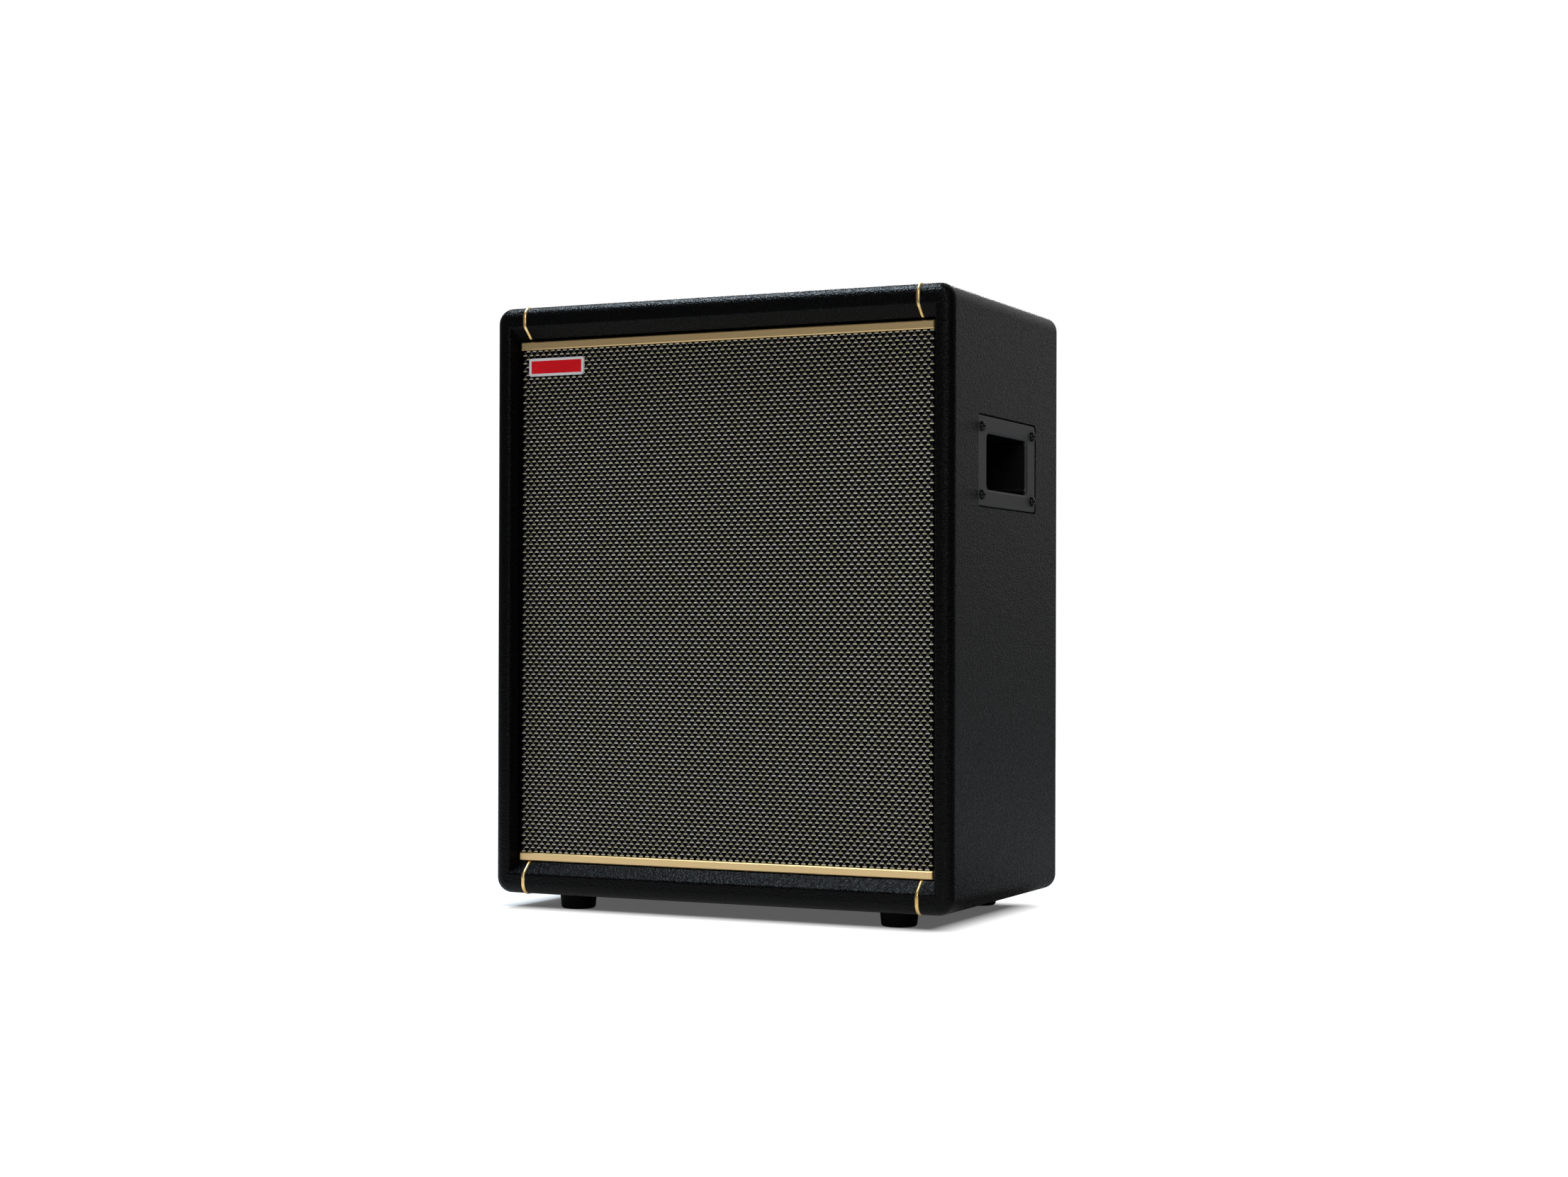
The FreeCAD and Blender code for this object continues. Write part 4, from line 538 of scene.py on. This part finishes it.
def woven_ends(name, wide, tall, proud, crown, x, z, material):
    """One yarn end, crowned and rounded at its corners, set out over the cloth in rows and columns."""
    near_corner = (x - wide / 2, low.y - proud, z - tall / 2)
    far_corner = (x + wide / 2, low.y + END_SUNK, z + tall / 2)
    end = block(name, near_corner, far_corner)
    choose(end, "EDGE", lambda middle, along: abs(along.y) > FACING)
    bpy.ops.mesh.bevel(offset=END_CORNER, segments=1, affect="EDGES")
    choose(end, "FACE", lambda middle, normal: normal.y < -FACING)
    bpy.ops.transform.resize(value=(crown[0], 1.0, crown[1]))
    bpy.ops.object.mode_set(mode="OBJECT")
    even = {"use_relative_offset": False, "use_constant_offset": True}
    across, up = (FLOAT_PITCH, 0.0, 0.0), (0.0, 0.0, 2 * ROW_PITCH)
    apply_modifier(end, "ARRAY", count=floats_across, constant_offset_displace=across, **even)
    apply_modifier(end, "ARRAY", count=row_pairs, constant_offset_displace=up, **even)
    bpy.ops.object.mode_set(mode="EDIT")
    # Ends that lie wholly under the badge are taken out
    choose(end, "FACE", lambda middle, normal: not (badge_low.x < middle.x < badge_high.x
           and badge_low.z < middle.z < badge_high.z))
    bpy.ops.mesh.select_linked()
    bpy.ops.mesh.select_all(action="INVERT")
    bpy.ops.mesh.delete(type="FACE")
    return finish_piece(end, material, "grille", smooth=75.0)


pale_yarn, tree, shader, place = new_finish("pale_yarn", Specular_IOR_Level=0.5, Roughness=0.30)
# Each float has a shade of its own, by the cell of the weave that it lies in
cell_size = (1 / FLOAT_PITCH * 2, 0.0, 1 / ROW_PITCH)
cell_start = (-first_x / FLOAT_PITCH * 2 + 0.5, 0.0, -first_z / ROW_PITCH + 0.5)
cells = add(tree, "Mapping", Vector=place, Scale=cell_size, Location=cell_start).outputs["Vector"]
cell = calc_vector(tree, "FLOOR", cells)
chance = add(tree, "TexWhiteNoise", Vector=cell).outputs["Value"]
float_shades = [(0.0, (0.58, 0.53, 0.31)), (0.3, (0.65, 0.60, 0.37))]
float_shades += [(0.6, (0.71, 0.65, 0.48)), (1.0, (0.73, 0.65, 0.55))]
tree.links.new(ramp(tree, chance, *float_shades), shader.inputs["Base Color"])
twist = add(tree, "TexNoise", Vector=place, Scale=1500.0, Detail=2.0).outputs["Fac"]
relief(tree, shader, twist, 0.00012)
float_size = FLOAT_LONG, FLOAT_TALL, FLOAT_PROUD, FLOAT_CROWN
for row, name in enumerate(("pale_floats_even_rows", "pale_floats_odd_rows")):
    x = first_x + row * FLOAT_PITCH / 2
    z = first_z + row * ROW_PITCH
    woven_ends(name, *float_size, x, z, pale_yarn)

grey_yarn, tree, shader, place = new_finish("grey_yarn", Specular_IOR_Level=0.9)
strand = add(tree, "TexNoise", Vector=place, Scale=900.0, Detail=2.0).outputs["Fac"]
tint = ramp(tree, strand, (0.3, (0.006, 0.006, 0.009)), (0.7, (0.016, 0.016, 0.024)))
give_look(tree, shader, tint, span(tree, strand, 0.35, 0.5))
# Each end rises over one float and dives under the next
dive = calc(tree, "MULTIPLY", add(tree, "SeparateXYZ", Vector=place).outputs["Z"], 1 / ROW_PITCH)
dive = calc(tree, "FRACT", calc(tree, "SUBTRACT", dive, first_z / ROW_PITCH))
relief(tree, shader, calc(tree, "ADD", dive, calc(tree, "MULTIPLY", strand, 0.15)), 0.0007)
strand_size = STRAND_WIDE, STRAND_TALL, STRAND_PROUD, STRAND_CROWN
for row, name in enumerate(("grey_ends_even_rows", "grey_ends_odd_rows")):
    x = first_x + row * FLOAT_PITCH / 2
    z = first_z + (row + 1) * ROW_PITCH - ROW_PITCH / 2
    woven_ends(name, *strand_size, x, z, grey_yarn)


# Trim bars: extruded aluminium, satin brushed along its length and anodised gold, with dulled arrises.
# One is pinned through the cloth along the top of the grille and one along the bottom.
BRUSHING_SCALE = (30.0, 2600.0, 2600.0)
ARRIS_DULLED = 0.16
ARRIS_START = 0.00005
ARRIS_END = 0.00025
gold_bar, tree, shader, place = new_finish("gold_bar", Metallic=1.0)
brushing = add(tree, "Mapping", Vector=place, Scale=BRUSHING_SCALE).outputs["Vector"]
scratch = add(tree, "TexNoise", Vector=brushing, Scale=1.0, Detail=3.0).outputs["Fac"]
tint = ramp(tree, scratch, (0.3, (0.66, 0.47, 0.23)), (0.7, (0.72, 0.53, 0.27)))
bar_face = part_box("top_trim_bar")[0].y
behind_face = add(tree, "SeparateXYZ", Vector=place).outputs["Y"]
dulled = span(tree, behind_face, 0.0, ARRIS_DULLED, bar_face + ARRIS_START, bar_face + ARRIS_END)
satin = calc(tree, "ADD", span(tree, scratch, 0.36, 0.44, 0.3, 0.7), dulled)
give_look(tree, shader, tint, satin)
relief(tree, shader, scratch, 0.00001)
dress(gold_bar, "top_trim_bar", "bottom_trim_bar")


# Badge: a die-cast plate with rounded corners, a pale raised rim and a plain red enamel field,
# left bare, and pinned through the cloth at the top left of the grille.
white_lacquer = (0.92, 0.92, 0.92), (0.97, 0.97, 0.97)
badge_rim = mottled(
    "badge_rim", *white_lacquer, patches=200.0, grains=1800.0, depth=0.00002, rough=(0.24, 0.34))
dress(badge_rim, "badge_plate")
BORDER_INSET = 0.0009
BORDER_WIDE = 0.0012
FIELD_SUNK = 0.0002
FIELD_PROUD = 0.00002
FIELD_DEEP = 0.0010
FIELD_CORNER = 0.0015
field_low = (badge_low.x + BORDER_INSET, badge_low.y - FIELD_PROUD, badge_low.z + BORDER_INSET)
field_high = (badge_high.x - BORDER_INSET, badge_low.y + FIELD_DEEP, badge_high.z - BORDER_INSET)
enamel = (0.86, 0.004, 0.012), (0.93, 0.006, 0.016)
badge_red = mottled(
    "badge_red", *enamel, patches=60.0, grains=900.0,
    depth=0.00001, rough=(0.20, 0.28), Specular_IOR_Level=0.25)
field = block("badge_field", field_low, field_high)
field.data.materials.append(badge_rim)
field.data.materials.append(badge_red)
choose(field, "EDGE", lambda middle, along: abs(along.y) > FACING)
bpy.ops.mesh.bevel(offset=FIELD_CORNER, segments=4, affect="EDGES")
choose(field, "FACE", lambda middle, normal: normal.y < -FACING)
bpy.ops.mesh.inset(thickness=BORDER_WIDE)
bpy.ops.transform.translate(value=(0.0, FIELD_SUNK, 0.0))
field.active_material_index = 1
bpy.ops.object.material_slot_assign()
finish_piece(field, None, "grille", smooth=20.0)


# Port: a tube with a flared mouth, moulded in the same black plastic as the horn
# and pressed into its hole in the back panel.
dress(moulded_black, "port_tube")


# Amplifier tray: folded steel in textured black paint, screwed over its hole in the back panel. It carries
# the sockets, the mains inlet, the rocker switch and the level control, with the housing fixed behind it.
dress(black_steel, "amp_tray")
dress(plated_steel, "amp_housing", "level_potentiometer", "level_shaft")
dress(circuit_board, "amp_circuit_board")
sleeve = (0.016, 0.020, 0.045), (0.034, 0.042, 0.085)
capacitor = mottled("capacitor", *sleeve, patches=120.0, grains=2000.0, depth=0.00004, rough=(0.24, 0.36))
dress(capacitor, "amp_capacitors")
nylon = (0.012, 0.012, 0.013), (0.024, 0.024, 0.026)
socket_plastic = mottled(
    "socket_plastic", *nylon, patches=150.0, grains=2400.0, depth=0.00005, rough=(0.32, 0.46))
dress(socket_plastic, "input_socket", "link_socket", "mains_inlet", "power_switch_housing")
# The knob's pointer is a slit across its cap, filled with pale paint
SLIT_SIDE = 0.00055, 0.00065
SLIT_START = 0.0024, 0.0026
SLIT_DEPTH = 0.0008, 0.0007
knob, tree, shader, place = new_finish("knob")
moulding_scales = {"Patch_Scale": 200.0, "Grain_Scale": 2600.0}
moulding = add(tree, "Group", {"node_tree": mottle}, Vector=place, **moulding_scales).outputs
low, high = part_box("level_knob")
dial_x, dial_z = (low.x + high.x) / 2, (low.z + high.z) / 2
axes = add(tree, "SeparateXYZ", Vector=place).outputs
beside = calc(tree, "ABSOLUTE", calc(tree, "SUBTRACT", axes["X"], dial_x))
above_middle = span(tree, axes["Z"], 0.0, 1.0, *(dial_z + start for start in SLIT_START))
near_cap = span(tree, axes["Y"], 0.0, 1.0, *(high.y - depth for depth in SLIT_DEPTH))
slit = calc(tree, "MULTIPLY", span(tree, beside, 1.0, 0.0, *SLIT_SIDE), above_middle)
slit = calc(tree, "MULTIPLY", slit, near_cap)
black = ramp(tree, moulding["Patch"], (0.35, satin_black[0]), (0.65, satin_black[1]))
pale = (0.72, 0.72, 0.70, 1.0)
give_look(tree, shader, mixed(tree, slit, black, pale), span(tree, moulding["Grain"], 0.30, 0.44, 0.3, 0.7))
relief(tree, shader, moulding["Grain"], 0.00005)
dress(knob, "level_knob")
rocker = mottled("rocker", *nylon, patches=200.0, grains=2000.0, depth=0.00002, rough=(0.14, 0.22))
dress(rocker, "power_rocker")


# Tray markings: white ink screened on the tray and cured to a thin raised film. A scale from 0 to 10
# runs round the level control, and ON and OFF stand by the switch.
TRAY_FACE = 0.0995
INK = 0.00010
TICK_HALF = 0.0003
TICK_ENDS = 0.0120, 0.0143
TICK_CORNER = 0.0002
SCALE_START = math.radians(-150.0)
SCALE_STEP = math.radians(30.0)
SCALE_END = 10
NUMBER_R = 0.0170
LETTER_TALL = 0.0036
WORD_GAP = 0.0034
ink = (0.62, 0.62, 0.60), (0.74, 0.74, 0.72)
white_ink = mottled("white_ink", *ink, patches=300.0, grains=2600.0, depth=0.00002, rough=(0.45, 0.60))
tick_low = (dial_x - TICK_HALF, TRAY_FACE - INK, dial_z + TICK_ENDS[0])
tick_high = (dial_x + TICK_HALF, TRAY_FACE + INK, dial_z + TICK_ENDS[1])
ticks = block("level_scale_ticks", tick_low, tick_high)
choose(ticks, "EDGE", lambda middle, along: abs(along.y) > FACING)
bpy.ops.mesh.bevel(offset=TICK_CORNER, segments=2, affect="EDGES")
bpy.ops.mesh.select_all(action="SELECT")
dial_middle = (dial_x, TRAY_FACE, dial_z)
bpy.ops.transform.rotate(value=-SCALE_START, orient_axis="Y", center_override=dial_middle)
for tick in range(SCALE_END):
    bpy.ops.mesh.duplicate()
    bpy.ops.transform.rotate(value=-SCALE_STEP, orient_axis="Y", center_override=dial_middle)
finish_piece(ticks, white_ink, "cabinet")


def printed(name, words):
    """Words in white ink on the tray, each a text and the x and z of its middle."""
    letters = []
    for word, x, z in words:
        bpy.ops.object.select_all(action="DESELECT")
        bpy.ops.object.text_add(location=(x, TRAY_FACE, z), rotation=(math.pi / 2, 0.0, math.pi))
        text = bpy.context.object
        text.data.body = word
        text.data.size = LETTER_TALL
        text.data.align_x, text.data.align_y = "CENTER", "CENTER"
        text.data.extrude = INK
        text.data.resolution_u = 4
        bpy.ops.object.convert(target="MESH")
        bpy.ops.object.transform_apply(location=True, rotation=True, scale=True)
        letters.append(bpy.context.object)
    for letter in letters:
        letter.select_set(True)
    bpy.ops.object.join()
    piece = bpy.context.object
    piece.name = piece.data.name = name
    piece.data.materials.clear()
    bpy.ops.object.mode_set(mode="EDIT")
    bpy.ops.mesh.select_all(action="SELECT")
    bpy.ops.mesh.remove_doubles(threshold=0.000001)
    bpy.ops.mesh.normals_make_consistent(inside=False)
    return finish_piece(piece, white_ink, "cabinet")


numbers = []
for number in range(SCALE_END + 1):
    turn = SCALE_START + SCALE_STEP * number
    numbers.append((str(number), dial_x - NUMBER_R * math.sin(turn), dial_z + NUMBER_R * math.cos(turn)))
printed("level_scale_numbers", numbers)
low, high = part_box("power_switch_housing")
switch_x = (low.x + high.x) / 2
switch_words = [("ON", switch_x, high.z + WORD_GAP), ("OFF", switch_x, low.z - WORD_GAP)]
printed("power_switch_words", switch_words)


# Speaker leads: stranded copper in dark grey plastic insulation, soldered at both ends.
# One pair runs from the amplifier to the driver's terminals, and one round the magnet to the tweeter.
insulation = (0.030, 0.030, 0.030), (0.055, 0.055, 0.055)
lead = mottled("lead", *insulation, patches=80.0, grains=1500.0, depth=0.00005, rough=(0.36, 0.50))
dress(lead, "speaker_leads")


# Floor, backdrop and light: a plain pale paper sweep under a broad soft box, with a weak fill lamp in
# front and one behind. Mirrored rays also find a pale card behind the box and a dim one ahead of it.
FLOOR_WIDE = 12.0
# The shadow's place and half size under the box, where its edge and the white floor fade, and what is left
SHADOW_SHIFT = (0.014, 0.0, 0.0)
SHADOW_HALF = (0.188, 0.092, 0.0)
SHADOW_EDGE = 0.0, 0.03
SHADOW_WHITE = 0.10
SWEEP_FADE = 0.3, 0.9
SWEEP_FAR = 0.1
FRONT_FADE = -0.15, -0.05


def rays(tree):
    """Masks of the rays that come from the camera and of those that were mirrored or bent."""
    path = add(tree, "LightPath").outputs
    return path["Is Camera Ray"], calc(tree, "MAXIMUM", path["Is Glossy Ray"], path["Is Transmission Ray"])


bpy.ops.object.select_all(action="DESELECT")
bpy.ops.mesh.primitive_plane_add(size=FLOOR_WIDE, location=(0.0, 0.0, 0.0))
floor = bpy.context.object
floor.name = "studio_floor"
white_floor, tree, shader, place = new_finish("white_floor", Roughness=0.8, Specular_IOR_Level=0.1)
shader.inputs["Base Color"].default_value = (0.36, 0.36, 0.36, 1.0)
shader.inputs["Emission Color"].default_value = (1.0, 1.0, 1.0, 1.0)
# The sweep shows white from a few centimetres round the box on, and its shadow below it
offset = calc_vector(tree, "ABSOLUTE", calc_vector(tree, "ADD", place, SHADOW_SHIFT))
past = calc_vector(tree, "MAXIMUM", calc_vector(tree, "SUBTRACT", offset, SHADOW_HALF))
past = calc_vector(tree, "LENGTH", past, result="Value")
white = span(tree, past, SHADOW_WHITE, 1.0, *SHADOW_EDGE)
front = span(tree, add(tree, "SeparateXYZ", Vector=place).outputs["Y"], 1.0, 0.0, *FRONT_FADE)
sweep = calc(tree, "MULTIPLY", front, span(tree, past, 1.0, SWEEP_FAR, *SWEEP_FADE))
seen, mirrored = rays(tree)
seen_white = calc(tree, "MAXIMUM", seen, calc(tree, "MULTIPLY", mirrored, sweep))
tree.links.new(calc(tree, "MULTIPLY", seen_white, white), shader.inputs["Emission Strength"])
floor.data.materials.append(white_floor)

# Each card's direction, the cosines between which it fades in, and its strength
BEHIND = (0.0, 0.85, 0.53)
BEHIND_FADE = 0.72, 0.95
BEHIND_BRIGHT = 0.58
AHEAD = (-0.38, -0.92, 0.12)
AHEAD_FADE = 0.92, 0.99
AHEAD_BRIGHT = 0.26
ROOM_LIGHT = 0.16
world = bpy.data.worlds.new("studio")
bpy.context.scene.world = world
world.use_nodes = True
tree = world.node_tree
background = tree.nodes["Background"]
background.inputs["Color"].default_value = (1.0, 1.0, 1.0, 1.0)
direction = tree.nodes.new("ShaderNodeTexCoord").outputs["Generated"]
card_behind = calc_vector(tree, "DOT_PRODUCT", direction, BEHIND, "Value")
card_behind = span(tree, card_behind, 0.0, BEHIND_BRIGHT, *BEHIND_FADE)
card_ahead = calc_vector(tree, "DOT_PRODUCT", direction, AHEAD, "Value")
card_ahead = span(tree, card_ahead, 0.0, AHEAD_BRIGHT, *AHEAD_FADE)
seen, mirrored = rays(tree)
cards = calc(tree, "MULTIPLY", mirrored, calc(tree, "ADD", card_behind, card_ahead))
shown = calc(tree, "MAXIMUM", seen, cards)
tree.links.new(span(tree, shown, ROOM_LIGHT, 1.0), background.inputs["Strength"])

LIT_MIDDLE = Vector((0.0, 0.0, 0.25))


def soft_box(name, place, width, depth, power, colour):
    """A rectangular area light that faces the middle of the box."""
    lamp = bpy.data.lights.new(name, "AREA")
    lamp.shape = "RECTANGLE"
    lamp.size, lamp.size_y = width, depth
    lamp.energy = power
    lamp.color = colour
    stand = bpy.data.objects.new(name, lamp)
    bpy.context.scene.collection.objects.link(stand)
    stand.location = place
    stand.rotation_euler = (LIT_MIDDLE - Vector(place)).to_track_quat("-Z", "Y").to_euler()


cool, pale_blue, warm = (0.76, 0.89, 1.0), (0.97, 0.98, 1.0), (1.0, 0.98, 0.95)
soft_box("overhead_soft_box", (-0.65, -0.10, 2.0), width=0.8, depth=0.5, power=54.0, colour=cool)
soft_box("back_fill", (-0.9, 2.3, 1.4), width=1.0, depth=1.0, power=22.0, colour=pale_blue)
soft_box("front_fill", (1.1, -2.3, 1.5), width=1.0, depth=1.0, power=22.0, colour=warm)


# Camera: at the photograph's viewing angle, to the right of the front and a little under half as high
# as the box, with the lens shifted up as there.
camera = bpy.data.objects.new("camera", bpy.data.cameras.new("camera"))
bpy.context.scene.collection.objects.link(camera)
camera.data.lens = 56.78
camera.data.shift_y = 0.0226
camera.location = (0.9019, -1.8878, 0.2290)
aimed = Euler((math.radians(90.269), 0.0, math.radians(25.421))).to_matrix()
rolled = Matrix.Rotation(math.radians(0.164), 3, "Z")
camera.rotation_euler = (aimed @ rolled).to_euler()
bpy.context.scene.camera = camera
bpy.context.scene.view_settings.view_transform = "Standard"
